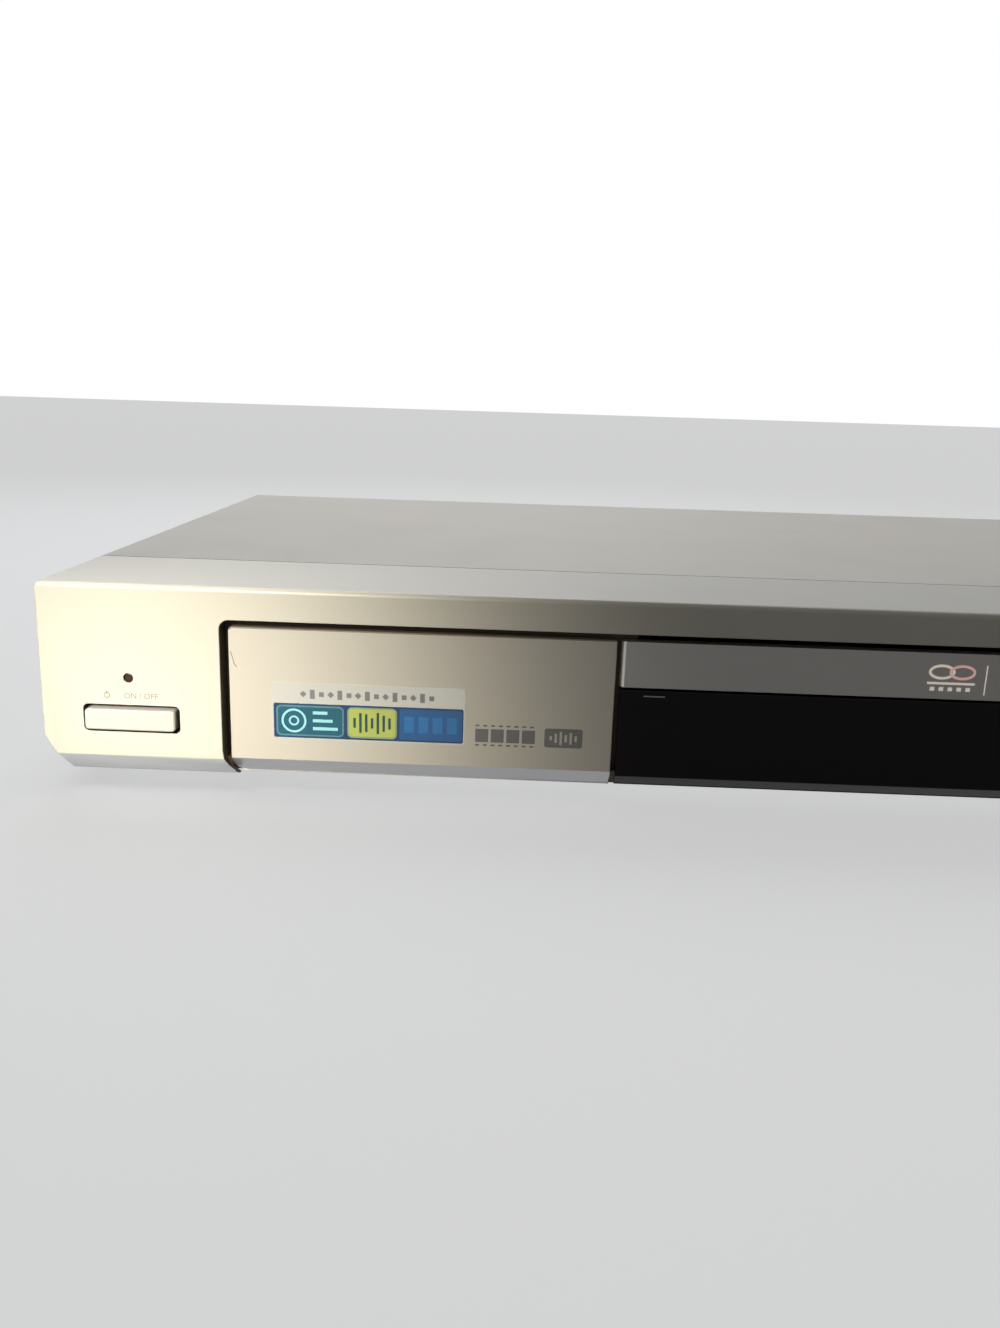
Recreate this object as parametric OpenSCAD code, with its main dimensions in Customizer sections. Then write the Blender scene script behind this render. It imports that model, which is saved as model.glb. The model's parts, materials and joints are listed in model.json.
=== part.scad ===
// Slim silver disc player with a motor-driven tray, as separate pieces.
// Axes: X to the right seen from the front, Y towards the back, Z up from the floor.

/* [Cabinet] */
// Width across the front panel and the cover
width = 430; // [426:1:434]
// Height from the floor to the top
height = 50; // [50:0.5:52]
// Depth from the button faces to the ends of the rear jacks
depth = 212; // [210:1:216]
// Height of the feet under the front panel
foot_h = 5; // [4:0.5:5]
// Thickness of the cover's steel sheet
sheet = 0.8; // [0.6:0.1:1]
// Wall thickness of the front mouldings
wall = 2.2; // [1.8:0.1:2.4]

/* [Front] */
// How far the front panel reaches back over the top
bezel_depth = 38; // [34:1:40]
// Bevel along the bottom edge, back and up
bevel = [2.8, 4.3];
// Cut at the two bottom corners, across and up
corner_cut = [5.6, 9.2];
// Height of the band above the inserts
band_h = 7.6; // [7:0.2:8]
// Width of the dark groove round the inserts
groove = 1.6; // [1.2:0.1:1.8]
// How far the inserts lie behind the band
recess = 1.5; // [1:0.1:2]
// Half the width of the opening that holds the inserts
opening_half = 173; // [172:0.5:174]
// Half the width of the tray door and the display window
door_half = 81.7; // [81:0.1:82.5]
// Height of the tray door
door_h = 10.8; // [10:0.1:10.9]
// Standby button, width and height
power_cap = [20.8, 4.9];
// Centre of the standby button, across and up
power_at = [-193.95, 18.3];
// Centre of the standby lamp, across and up
lamp_at = [-194.3, 28];

/* [Motion] */
// Travel of the disc tray
tray_travel = 138; // [120:1:140]
// Travel of every button
press = 0.8; // [0.5:0.1:1]
// Tilt of the traverse deck when it is lowered, in degrees
deck_drop = 5; // [3:0.5:5]
// Travel of the cam slider for the full tilt
cam_travel = 16; // [14:1:16]
// Travel of the pickup sled
sled_travel = 34; // [30:1:34]

/* [Drive] */
// Backlash between two meshing teeth
backlash = 0.34; // [0.3:0.02:0.4]
// Groove radius of the large pulley
pulley_r = 12.2; // [12:0.1:12.3]
// Groove radius of the motor pulley
motor_pulley_r = 2.8; // [2.7:0.1:3]

/* [Disc] */
// Distance of the disc's centre behind the front of the front panel
disc_back = 72.5; // [72:0.5:73]
// Radius of the recess for a full-size disc
disc_r = 60.8; // [60.5:0.1:61]
// Radius of the recess for a small disc
small_disc_r = 40.8; // [40.5:0.1:41]

/* [Hidden] */
$fn = 48;

// Planes along Y
button_out = 1.5;
jack_out = 9;
face_y = -depth / 2 + button_out;
insert_y = face_y + recess;
seam_y = face_y + bezel_depth;
rear_y = depth / 2 - jack_out;
pocket_y = face_y + 5.3;
pocket_t = 2;
key_board_y = face_y + 13;

// Planes along Z
floor_z = foot_h + 1;
floor_t = 1;
board_z = 13;
board_t = 1.6;
face_bottom = foot_h + bevel[1];
window_bottom = foot_h + 3.4;
opening_top = height - band_h;
insert_top = opening_top - 1.7;
door_top = opening_top - 1.9;
door_bottom = door_top - door_h;

// Front pieces
insert_outer = opening_half - groove;
insert_inner = door_half + 1.1;
opening_r = 8;
panel_r = 1.3;
gap = 0.7;
power_gap = 0.8;
key_z = 18.5;
key_h = 5;
open_close_at = [96.5, 15];
play_at = [115.5, 15];
stop_at = [131.5, 10];
skip_back_at = [145, 10];
skip_forward_at = [158.5, 10];
KEYS = [open_close_at, play_at, stop_at, skip_back_at, skip_forward_at];
PEGS_X = [98, 160];
PEGS_Z = [12, 36];

// Tray, in its closed place
disc_y = face_y + disc_back;
tray_front = face_y + 4.5;
tray_rear = 84;
tray_half = 71;
runner_half = 73.9;
tray_bottom = 33.2;
runner_z = [30.6, 32.6];
rim_z = 38;
seat_z = 35;
small_seat_z = 34.2;
slot_half = 20;

// Loader frame
frame_half = 77;
frame_in = 74.3;
frame_y = [-92.5, 88];
frame_z = [7.4, 41.3];
gear_plate_z = [20, 21.5];

// Gears and pulleys: the pinion turns the drive gear, and that drives the tray's rack
gear_m = 1;
drive_teeth = 28;
pinion_teeth = 15;
drive_r = gear_m * drive_teeth / 2;
pinion_r = gear_m * pinion_teeth / 2;
rack_x = -62;
gear_y = -78;
drive_at = [rack_x + drive_r, gear_y];
pulley_at = [drive_at.x + drive_r + pinion_r, gear_y];
motor_at = [22, gear_y];
gear_z = [30, 32.6];
belt_z = 24.1;
belt_w = 1.2;

// Deck, in its raised place
hinge_y = 64;
hinge_z = 20;
holder_half = 50;
holder_y = [-56, 62];
holder_z = [18.5, 21.5];
base_z = [22.5, 24.5];
damper_at = [[-45, -49], [45, -49], [-45, 52], [45, 52]];
cam_pin_x = 30;
cam_pin_y = -61.3;
cam_pin_z = 22.5;
cam_pin_r = 1.6;
cam_y = [-60.6, -57.6];
cam_z = [8.2, 26.6];
cam_half = 45;
cam_drop = (hinge_y - (cam_y[0] + cam_y[1]) / 2) * sin(deck_drop);
spin_seat = 38.4;
rod_x = 25;
rod_z = 19.5;
rod_r = 1.5;
rod_y = [-17, 57];
screw_x = 34;
screw_r = 1.5;
lens_y = disc_y + 24;

// Rear sockets
jack_r = 4.15;
JACK_X = [98, 114, 130];
JACK_Z = [20, 36];
inlet_at = [-190, 26];

// ---- shapes that repeat ----

// Box between two corners
module span(x, y, z)
  translate([x[0], y[0], z[0]]) cube([x[1] - x[0], y[1] - y[0], z[1] - z[0]]);

// Upright cylinder at a plan position
module post(at, z, r)
  translate([at.x, at.y, z[0]]) cylinder(h = z[1] - z[0], r = r);

// Cylinder along X at [y, z]
module bar_x(at, x, r)
  translate([x[0], at[0], at[1]]) rotate([0, 90, 0]) cylinder(h = x[1] - x[0], r = r);

// Cylinder along Y at [x, z]
module bar_y(at, y, r)
  translate([at[0], y[1], at[1]]) rotate([90, 0, 0]) cylinder(h = y[1] - y[0], r = r);

// Front-view outline (x, z) made into a plate along Y
module front_plate(y)
  translate([0, y[1], 0]) rotate([90, 0, 0]) linear_extrude(y[1] - y[0]) children();

// Side-view outline (y, z) made into a bar along X
module side_bar(x)
  translate([x[0], 0, 0]) rotate([90, 0, 90]) linear_extrude(x[1] - x[0]) children();

// Points of a quarter turn
function quarter(centre, r, from) =
  r <= 0 ? [centre] : [for (i = [0:6]) centre + r * [cos(from + 15 * i), sin(from + 15 * i)]];

// Rectangle with its own radius at each corner: bottom left, bottom right, top right, top left
function round_rect(x, y, r) = concat(
  quarter([x[0] + r[0], y[0] + r[0]], r[0], 180),
  quarter([x[1] - r[1], y[0] + r[1]], r[1], 270),
  quarter([x[1] - r[2], y[1] - r[2]], r[2], 0),
  quarter([x[0] + r[3], y[1] - r[3]], r[3], 90)
);

// Involute spur gear, with a tooth centred at the angle given
function inv(a) = tan(a) * 180 / PI - a;
function flank(teeth, rho) =
  let (r = gear_m * teeth / 2, base = r * cos(20), at = max(rho, base))
  (90 / teeth - backlash / 4 / r * 180 / PI) + inv(20) - inv(acos(base / at));
function gear_points(teeth, start) =
  let (r = gear_m * teeth / 2, radii = [r - 1.2, r - 0.6, r, r + 0.45, r + 0.85])
  [for (i = [0:teeth - 1], side = [-1, 1], k = [0:4])
    let (rho = radii[side < 0 ? k : 4 - k], a = start + i * 360 / teeth + side * flank(teeth, rho))
    rho * [cos(a), sin(a)]];

// Closed loop round two pulleys on a line along X, grown by an offset
function belt_points(grow) =
  let (
    d = motor_at.x - pulley_at.x,
    big = pulley_r + grow,
    small = motor_pulley_r + grow,
    lean = acos((big - small) / d)
  ) concat(
    [for (i = [0:24]) big * [cos(lean + i * (360 - 2 * lean) / 24), sin(lean + i * (360 - 2 * lean) / 24)]],
    [for (i = [0:12]) [d, 0] + small * [cos(-lean + i * lean / 6), sin(-lean + i * lean / 6)]]
  );

// ---- cabinet ----

// Where a cut across a corner meets the two edges once all three have moved inwards: [along, up]
function cut_ends(cut, inset) = [
  cut[0] + inset * (norm(cut) - cut[0]) / cut[1],
  cut[1] + inset * (norm(cut) - cut[1]) / cut[0]
];

// Outline of the front panel, moved inwards by a distance
function panel_outline(inset) =
  let (
    half = width / 2,
    w = half - inset,
    z0 = foot_h + inset,
    z1 = height - inset,
    ends = cut_ends(corner_cut, inset)
  ) concat(
    [[-w, foot_h + ends[1]], [-half + ends[0], z0], [half - ends[0], z0], [w, foot_h + ends[1]]],
    quarter([w - panel_r, z1 - panel_r], panel_r, 0),
    quarter([-w + panel_r, z1 - panel_r], panel_r, 90)
  );

// Side outline of the front panel, moved inwards by a distance
function panel_side(inset) =
  let (y0 = face_y + inset, z0 = foot_h + inset, z1 = height - inset, ends = cut_ends(bevel, inset))
  concat(
    [[y0, foot_h + ends[1]], [face_y + ends[0], z0], [seam_y + inset, z0], [seam_y + inset, z1]],
    quarter([y0 + panel_r, z1 - panel_r], panel_r, 90)
  );

module panel_form(inset)
  intersection() {
    front_plate([face_y + inset, seam_y + inset]) polygon(panel_outline(inset));
    side_bar([-width / 2, width / 2]) polygon(panel_side(inset));
  }

// Opening for the inserts, grown by a distance
module opening_outline(grow)
  polygon(round_rect(
    [-opening_half - grow, opening_half + grow],
    [foot_h - groove - grow, opening_top + grow],
    [opening_r, opening_r, 2.2, 2.2]
  ));

module key_hole(at, cap, grow, y)
  front_plate(y)
    polygon(round_rect(
      [at[0] - cap[0] / 2 - grow, at[0] + cap[0] / 2 + grow],
      [at[1] - cap[1] / 2 - grow, at[1] + cap[1] / 2 + grow],
      [1.2, 1.2, 1.2, 1.2]
    ));

module peg_row(y, r)
  for (side = [-1, 1], x = PEGS_X, z = PEGS_Z) bar_y([side * x, z], y, r);

module front_panel() color("#cfccbd")
  difference() {
    union() {
      difference() {
        panel_form(0);
        panel_form(wall);
        front_plate([face_y - 1, pocket_y + 1]) opening_outline(0);
        span([-width, width], [pocket_y + pocket_t + 0.9, seam_y + 1], [0, foot_h + wall + 0.2]);
      }
      intersection() {
        panel_form(0);
        difference() {
          front_plate([face_y + wall - 0.2, pocket_y + pocket_t]) opening_outline(1.8);
          front_plate([face_y, pocket_y]) opening_outline(0);
        }
      }
    }
    span([-77.8, 77.8], [pocket_y - 1, pocket_y + 3], [door_bottom - 0.3, opening_top - 1.2]);
    span([-72, 72], [pocket_y - 1, pocket_y + 3], [10.5, 27.5]);
    span([86, 166], [pocket_y - 1, pocket_y + 3], [14.4, 22.6]);
    span([-opening_half, opening_half], [pocket_y - 1, pocket_y + 3], [0, foot_h + 1.4]);
    peg_row([pocket_y - 1, pocket_y + 3], 1.7);
    key_hole(power_at, power_cap, power_gap, [face_y - 1, face_y + wall + 1]);
    bar_y(lamp_at, [face_y - 1, face_y + wall + 1], 1.1);
  }

// Side outline shared by the inserts and the window, with a bevel below
function insert_side(bottom, top, t) = [
  [insert_y, bottom], [pocket_y - 0.3, foot_h + 0.4], [pocket_y - 0.2, foot_h],
  [pocket_y - 0.2, foot_h + 2.4], [insert_y + t, bottom + 0.8], [insert_y + t, top],
  [insert_y, top]
];

module insert(side) {
  outer = side * insert_outer;
  inner = side * insert_inner;
  radii = side < 0 ? [3.2, 0.4, 0.4, 1] : [0.4, 3.2, 1, 0.4];
  intersection() {
    side_bar([min(outer, inner), max(outer, inner)]) polygon(insert_side(face_bottom, insert_top, wall));
    front_plate([insert_y, pocket_y])
      polygon(round_rect([min(outer, inner), max(outer, inner)], [foot_h, insert_top], radii));
  }
  for (x = PEGS_X, z = PEGS_Z)
    bar_y([side * x, z], [insert_y + wall - 0.5, pocket_y + 1.5], 1.5);
}

module left_insert() color("#bdb7a6") insert(-1);

module right_insert() color("#bdb7a6")
  difference() {
    insert(1);
    for (key = KEYS) key_hole([key[0], key_z], [key[1], key_h], gap, [insert_y - 1, pocket_y + 1]);
  }

module display_window() color("#120c10")
  side_bar([-door_half, door_half]) polygon(insert_side(window_bottom, door_bottom - 0.5, wall + 0.2));

module standby_lens() color("#5a1212")
  union() {
    bar_y(lamp_at, [face_y + 0.4, face_y + wall], 1);
    bar_y(lamp_at, [face_y + wall, key_board_y - 0.2], 1.8);
  }

// A button: its cap, and a stem towards its switch
module button(at, cap, front) {
  front_plate([front, face_y + wall + 0.6])
    polygon(round_rect(
      [at[0] - cap[0] / 2, at[0] + cap[0] / 2],
      [at[1] - cap[1] / 2, at[1] + cap[1] / 2],
      [0.8, 0.8, 0.8, 0.8]
    ));
  bar_y(at, [face_y + wall, key_board_y - 3.8 - press], 1.5);
}

module power_button() color("#d8d2c4") button(power_at, power_cap, face_y - button_out);

module key_button(key) color("#d8d2c4") button([key[0], key_z], [key[1], key_h], insert_y - button_out);

module open_close_button() key_button(open_close_at);

module play_button() key_button(play_at);

module stop_button() key_button(stop_at);

module skip_back_button() key_button(skip_back_at);

module skip_forward_button() key_button(skip_forward_at);

// Screw places on the cover's sides, at [y, z]
SIDE_SCREWS = [[-40, 14], [70, 14]];
REAR_SCREWS = [-150, 0, 196];

module top_cover() color("#b4b5b2")
  difference() {
    span([-width / 2, width / 2], [seam_y + 0.3, rear_y + 0.5], [floor_z, height]);
    span([-width / 2 + sheet, width / 2 - sheet], [seam_y - 1, rear_y + 2], [0, height - sheet]);
    for (side = [-1, 1], at = SIDE_SCREWS)
      translate([side * width / 2, 0, 0]) bar_x(at, [-2, 2], 3.4);
    for (y = [0:5.5:55]) span([-width, width], [y, y + 2.2], [24, 40]);
  }

// Half the width of the chassis behind and beside the front panel
chassis_half = width / 2 - 1;
chassis_front_half = width / 2 - 11;

module bottom_chassis() color("#8f9394")
  difference() {
    union() {
      span([-chassis_half, chassis_half], [seam_y + 1, rear_y - 1], [floor_z, floor_z + floor_t]);
      front_x = [-chassis_front_half, chassis_front_half];
      span(front_x, [pocket_y + 3.4, seam_y + 1.5], [floor_z, floor_z + floor_t]);
      for (side = [-1, 1])
        span(
          side < 0 ? [-chassis_half, -chassis_half + 1] : [chassis_half - 1, chassis_half],
          [seam_y + 1, rear_y - 1], [floor_z, floor_z + 16]
        );
      for (at = BOARD_POSTS) post(at, [floor_z, board_z], 3);
    }
    for (at = BOARD_POSTS) post(at, [floor_z - 1, board_z + 1], 1.25);
    for (side = [-1, 1], at = SIDE_SCREWS)
      translate([side * chassis_half, 0, 0]) bar_x(at, [-2, 2], 1.6);
    for (x = [-150:12:-102], y = [20, 45])
      span([x, x + 3], [y, y + 18], [floor_z - 1, floor_z + 2]);
  }

// Board posts: four under the power board and four under the main board
BOARD_POSTS = [
  [-198, -2], [-96, -2], [-198, 76], [-96, 76], [94, -22], [196, -22], [94, 72], [196, 72]
];

module rear_panel() color("#9a9d9d")
  difference() {
    span([-chassis_half, chassis_half], [rear_y - 1, rear_y], [floor_z, height - sheet]);
    for (x = JACK_X, z = JACK_Z) bar_y([x, z], [rear_y - 2, rear_y + 1], 5);
    bar_y([158, 28], [rear_y - 2, rear_y + 1], 6.4);
    bar_y([180, 36], [rear_y - 2, rear_y + 1], 5);
    span([174.7, 185.3], [rear_y - 2, rear_y + 1], [14.7, 25.3]);
    translate([inlet_at.x, 0, inlet_at.y]) span([-10.2, 10.2], [rear_y - 2, rear_y + 1], [-6.7, 6.7]);
    for (x = REAR_SCREWS) bar_y([x, 44], [rear_y - 2, rear_y + 1], 1.6);
    for (x = [-60:8:60]) span([x, x + 3], [rear_y - 2, rear_y + 1], [22, 38]);
  }

FEET = [[-170, -68], [170, -68], [-170, 74], [170, 74]];

module feet() color("#3a3b3d")
  for (at = FEET)
    difference() {
      post(at, [0.8, floor_z], 14);
      post(at, [0.5, 3], 5);
    }

module foot_pads() color("#222222")
  for (at = FEET)
    difference() {
      post(at, [0, 0.8], 12);
      post(at, [-1, 2], 5.5);
    }

module screw_y(at, y, z_head) {
  bar_y(at, [y - 6, y], 1.5);
  bar_y(at, [y, y + z_head], 3.2);
}

module case_screws() color("#5c5f61") {
  for (x = REAR_SCREWS) screw_y([x, 44], rear_y, 1.8);
  for (at = SIDE_SCREWS) {
    bar_x(at, [-width / 2, -chassis_half - 0.05], 3.2);
    bar_x(at, [-chassis_half - 0.1, -chassis_half + 5], 1.5);
    bar_x(at, [chassis_half + 0.05, width / 2], 3.2);
    bar_x(at, [chassis_half - 5, chassis_half + 0.1], 1.5);
  }
}

// Screws that hold the boards and the clamp bridge
BRIDGE_SCREWS = [[-75.6, -46], [75.6, -46], [-75.6, -18], [75.6, -18]];

module inner_screws() color("#a8a9ab") {
  for (at = BOARD_POSTS) {
    post(at, [board_z + board_t, board_z + board_t + 1.8], 2.8);
    post(at, [board_z - 5, board_z + board_t + 0.1], 1.2);
  }
  for (at = BRIDGE_SCREWS) {
    post(at, [frame_z[1] + 1.5, frame_z[1] + 3], 2);
    post(at, [frame_z[1] - 4, frame_z[1] + 1.6], 0.8);
  }
}

// ---- disc loader ----

// Side walls with lips for the tray, a plate for the gears, and two ears for the deck's hinge
module loader_frame() color("#2b2c2e")
  difference() {
    union() {
      for (side = [-1, 1]) {
        wall_x = side < 0 ? [-frame_half, -frame_in] : [frame_in, frame_half];
        span(wall_x, frame_y, frame_z);
        lip_x = side < 0 ? [-frame_in - 0.1, -tray_half - 0.5] : [tray_half + 0.5, frame_in + 0.1];
        span(lip_x, frame_y, [28.6, runner_z[0] - 0.3]);
        span(lip_x, [frame_y[0], -40], [runner_z[1] + 0.4, runner_z[1] + 1.8]);
        ear_x = side < 0 ? [-holder_half - 6, -holder_half - 2.6] : [holder_half + 2.6, holder_half + 6];
        span(ear_x, [hinge_y - 7, hinge_y + 7], [9, 24.5]);
      }
      span([-frame_half, frame_half], [-56, frame_y[1]], [frame_z[0], 9.2]);
      span([-frame_half, frame_half], [frame_y[1] - 2.4, frame_y[1]], [frame_z[0], 29]);
      span([-frame_half, frame_half], [frame_y[0], cam_y[0] - 0.8], gear_plate_z);
      for (x = [-70, 70]) span([x - 7, x + 7], [frame_y[0], -56], [frame_z[0], 9.2]);
      for (x = [-63, 63]) span([x - 2, x + 2], [cam_y[0] - 1.2, cam_y[1] + 3], [9, 28.4]);
      for (x = [-63, 63]) span([x - 2, x + 2], [frame_y[0], cam_y[0] - 1], [9, 20.2]);
      post(drive_at, [gear_plate_z[1] - 0.1, gear_z[1] - 0.4], 1.5);
      post(pulley_at, [gear_plate_z[1] - 0.1, gear_z[1] - 0.4], 1.5);
    }
    span([-52, 52], [cam_y[0] - 0.7, 50], [0, 12]);
    bar_x([hinge_y, hinge_z], [-60, 60], 2.56);
    post(motor_at, [gear_plate_z[0] - 1, gear_plate_z[1] + 1], 3.2);
    for (side = [-1, 1]) post(motor_at + [side * 8, 0], [gear_plate_z[0] - 1, gear_plate_z[1] + 1], 1.1);
    for (at = BRIDGE_SCREWS) post(at, [frame_z[1] - 5, frame_z[1] + 1], 0.85);
  }

// Rack along Y with teeth towards +X
function rack_points(y0, count) =
  let (p = PI * gear_m, lean = tan(20), half = p / 4 - backlash / 4)
  concat(
    [[-4, y0 - p / 2], [-1.2, y0 - p / 2]],
    [for (i = [0:count - 1]) for (q = [
      [-1.2, -half - 1.2 * lean], [0.85, -half + 0.85 * lean],
      [0.85, half - 0.85 * lean], [-1.2, half + 1.2 * lean]
    ]) [q.x, y0 + i * p + q.y]],
    [[-1.2, y0 + (count - 0.5) * p], [-4, y0 + (count - 0.5) * p]]
  );

module disc_tray() color("#3c3d40")
  difference() {
    union() {
      span([-tray_half, tray_half], [tray_front, disc_y + disc_r + 4], [tray_bottom, rim_z]);
      span([-tray_half, tray_half], [disc_y + disc_r + 3.9, tray_rear], [tray_bottom, 35.2]);
      for (side = [-1, 1]) {
        runner_x = side < 0 ? [-runner_half, -tray_half + 1.5] : [tray_half - 1.5, runner_half];
        span(runner_x, [tray_front + 6, tray_rear], runner_z);
        web_x = side < 0 ? [-tray_half, -tray_half + 1.5] : [tray_half - 1.5, tray_half];
        span(web_x, [tray_front, tray_rear], [runner_z[0], tray_bottom + 0.1]);
      }
      translate([rack_x, 0, runner_z[0]])
        linear_extrude(tray_bottom - runner_z[0] + 0.1)
          polygon(rack_points(gear_y - 3 * PI * gear_m, ceil((tray_travel + 19) / (PI * gear_m))));
    }
    post([0, disc_y], [seat_z, 50], disc_r);
    post([0, disc_y], [small_seat_z, 50], small_disc_r);
    post([0, disc_y], [0, 50], slot_half);
    span([-slot_half, slot_half], [disc_y, tray_rear + 1], [0, 50]);
    for (side = [-1, 1]) post([side * (tray_half + 8), disc_y], [small_seat_z, 50], 24);
  }

// The door's rounded plan outline
module tray_door() color("#8d897f") {
  translate([0, 0, door_bottom])
    linear_extrude(door_h)
      polygon(round_rect([-door_half, door_half], [insert_y, insert_y + 3], [1.2, 1.2, 0.3, 0.3]));
  for (x = [-48, 0, 48]) span([x - 6, x + 6], [insert_y + 2.9, tray_front], [33.6, 37.6]);
}

module loading_motor() color("#b9babd")
  difference() {
    union() {
      post(motor_at, [9, gear_plate_z[0]], 12);
      post(motor_at, [gear_plate_z[0] - 0.1, gear_plate_z[0] + 0.8], 3.1);
    }
    post(motor_at, [gear_plate_z[0] - 3, gear_plate_z[1] + 1], 1.05);
  }

// Pulley with a rim on each side of the belt's groove
module pulley_form(r, rim, z)
  difference() {
    post([0, 0], z, r + rim);
    rotate_extrude() translate([r, belt_z - 0.9]) square([rim + 1, 1.8]);
  }

module motor_pulley() color("#c9c3a0")
  translate([motor_at.x, motor_at.y, 0])
    union() {
      pulley_form(motor_pulley_r - 0.35, 1.2, [22.3, 25.9]);
      post([0, 0], [gear_plate_z[0] - 2.5, 22.5], 1);
    }

module loading_belt() color("#1c1c1d")
  translate([pulley_at.x, pulley_at.y, belt_z - belt_w / 2])
    linear_extrude(belt_w)
      difference() {
        polygon(belt_points(belt_w));
        polygon(belt_points(0));
      }

module pulley_gear() color("#e3ddc8")
  translate([pulley_at.x, pulley_at.y, 0])
    difference() {
      union() {
        pulley_form(pulley_r - 0.35, 1.5, [22.3, 25.9]);
        post([0, 0], [21.8, 22.4], 4);
        translate([0, 0, 25.8]) linear_extrude(gear_z[1] - 25.8) polygon(gear_points(pinion_teeth, 180));
      }
      post([0, 0], [20, 40], 1.56);
    }

module drive_gear() color("#e3ddc8")
  translate([drive_at.x, drive_at.y, 0])
    difference() {
      union() {
        translate([0, 0, gear_z[0]])
          linear_extrude(gear_z[1] - gear_z[0])
            polygon(gear_points(drive_teeth, 180 / drive_teeth));
        post([0, 0], [21.8, gear_z[0] + 0.1], 3);
      }
      post([0, 0], [20, 40], 1.56);
      for (a = [0:60:300])
        translate([8.2 * cos(a), 8.2 * sin(a), 20]) cylinder(h = 20, r = 2.2);
    }

// Plate with two sloping slots that lower the deck's pins as it slides to the right
module cam_slider() color("#d9d3bf")
  difference() {
    union() {
      span([-cam_half, cam_half], cam_y, cam_z);
      span([-cam_half, cam_half], [cam_y[0], cam_y[1]], [cam_z[1] - 0.1, cam_z[1] + 0.9]);
    }
    for (x = [-cam_pin_x, cam_pin_x])
      translate([x, cam_y[1] + 1, cam_pin_z])
        rotate([90, 0, 0])
          linear_extrude(5)
            union() {
              circle(r = cam_pin_r + 0.35);
              translate([-cam_travel, -cam_drop]) circle(r = cam_pin_r + 0.35);
              rotate(atan2(-cam_drop, -cam_travel))
                translate([0, -cam_pin_r - 0.3])
                  square([norm([cam_travel, cam_drop]), 2 * cam_pin_r + 0.6]);
            }
    for (x = [-38, 38]) post([x, (cam_y[0] + cam_y[1]) / 2], [cam_z[0] - 1, cam_z[0] + 3], 0.6);
  }

// ---- disc clamp ----

clamp_hole_r = 9.6;

module clamp_bridge() color("#c3c5c6")
  difference() {
    union() {
      span([-frame_half, frame_half], [-54, -10], [frame_z[1], frame_z[1] + 1.5]);
      for (y = [-54, -11.2]) span([-66, 66], [y, y + 1.2], [frame_z[1] + 1.4, frame_z[1] + 3.5]);
    }
    post([0, disc_y], [0, 60], clamp_hole_r);
    for (at = BRIDGE_SCREWS) post(at, [0, 60], 1);
    for (x = [-52, -30, 30, 52]) span([x - 6, x + 6], [-44, -22], [0, 60]);
  }

module clamper_pad() color("#2e2f31")
  translate([0, disc_y, 0])
    difference() {
      union() {
        post([0, 0], [38.8, 40.8], 14);
        post([0, 0], [40.7, 43.4], 9);
      }
      post([0, 0], [38, 41.2], 7.9);
      post([0, 0], [41.1, 44], 6);
    }

module clamper_magnet() color("#7d8084")
  translate([0, disc_y, 0])
    difference() {
      post([0, 0], [41.4, 43.2], 5.9);
      post([0, 0], [41, 44], 2);
    }

module clamper_cap() color("#2e2f31")
  translate([0, disc_y, 0])
    union() {
      post([0, 0], [43.4, 44.6], 13.5);
      post([0, 0], [44.5, 45.6], 5);
    }

// ---- traverse deck, raised ----

module deck_holder() color("#2f3133")
  difference() {
    union() {
      span([-holder_half, holder_half], holder_y, holder_z);
      span([-38, 38], [holder_y[0], holder_y[0] + 1.8], [holder_z[0], 24.4]);
      for (side = [-1, 1]) {
        pin_x = side < 0 ? [-holder_half - 5, -holder_half + 6] : [holder_half - 6, holder_half + 5];
        bar_x([hinge_y, hinge_z], pin_x, 2.5);
        lug_x = side < 0 ? [-holder_half, -holder_half + 5] : [holder_half - 5, holder_half];
        span(lug_x, [holder_y[1] - 4, hinge_y + 1.5], holder_z);
        bar_y([side * cam_pin_x, cam_pin_z], [cam_pin_y, holder_y[0] + 0.5], cam_pin_r);
      }
    }
    span([-39.5, 39.5], [-43, 58], [holder_z[0] - 1, holder_z[1] + 1]);
    for (at = damper_at) post(at, [holder_z[0] + 0.2, 30], 1.05);
  }

module deck_dampers() color("#26262a")
  for (at = damper_at)
    difference() {
      union() {
        post(at, [holder_z[1], base_z[0]], 4.6);
        post(at, [base_z[0] - 0.1, base_z[1] + 0.1], 3);
        post(at, [base_z[1], base_z[1] + 1.4], 4.6);
      }
      post(at, [0, 40], 1.3);
    }

module damper_screws() color("#b4b5b7")
  for (at = damper_at) {
    post(at, [holder_z[0] + 0.4, base_z[1] + 1.5], 1);
    post(at, [base_z[1] + 1.4, base_z[1] + 2.8], 3);
  }

module traverse_base() color("#a4a7a9")
  difference() {
    union() {
      span([-48.5, 48.5], [-53, 57], base_z);
      for (x = [-rod_x, rod_x], y = [rod_y[0], rod_y[1] - 3])
        span([x - 3, x + 3], [y, y + 3], [rod_z - 2.6, base_z[0] + 0.1]);
      span([screw_x - 3, screw_x + 3], [52, 55], [rod_z - 2.6, base_z[0] + 0.1]);
      span([screw_x - 5.5, screw_x + 5.5], [-13.8, -12], [rod_z - 5, base_z[0] + 0.1]);
    }
    span([-20.5, 20.5], [-17, lens_y + sled_travel + 27.5], [base_z[0] - 1, base_z[1] + 1]);
    span([screw_x - 5.6, screw_x + 5.6], [-30, -13.9], [base_z[0] - 1, base_z[1] + 1]);
    span([20, 32], [-3, 49], [base_z[0] - 1, base_z[1] + 1]);
    span([-30, -20], [-3, 49], [base_z[0] - 1, base_z[1] + 1]);
    for (side = [-1, 1]) bar_y([side * rod_x, rod_z], [rod_y[0] - 1, rod_y[1] + 1], rod_r);
    bar_y([screw_x, rod_z], [-15, 56], screw_r + 0.06);
    for (at = damper_at) post(at, [base_z[0] - 1, base_z[1] + 1], 3);
  }

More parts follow.
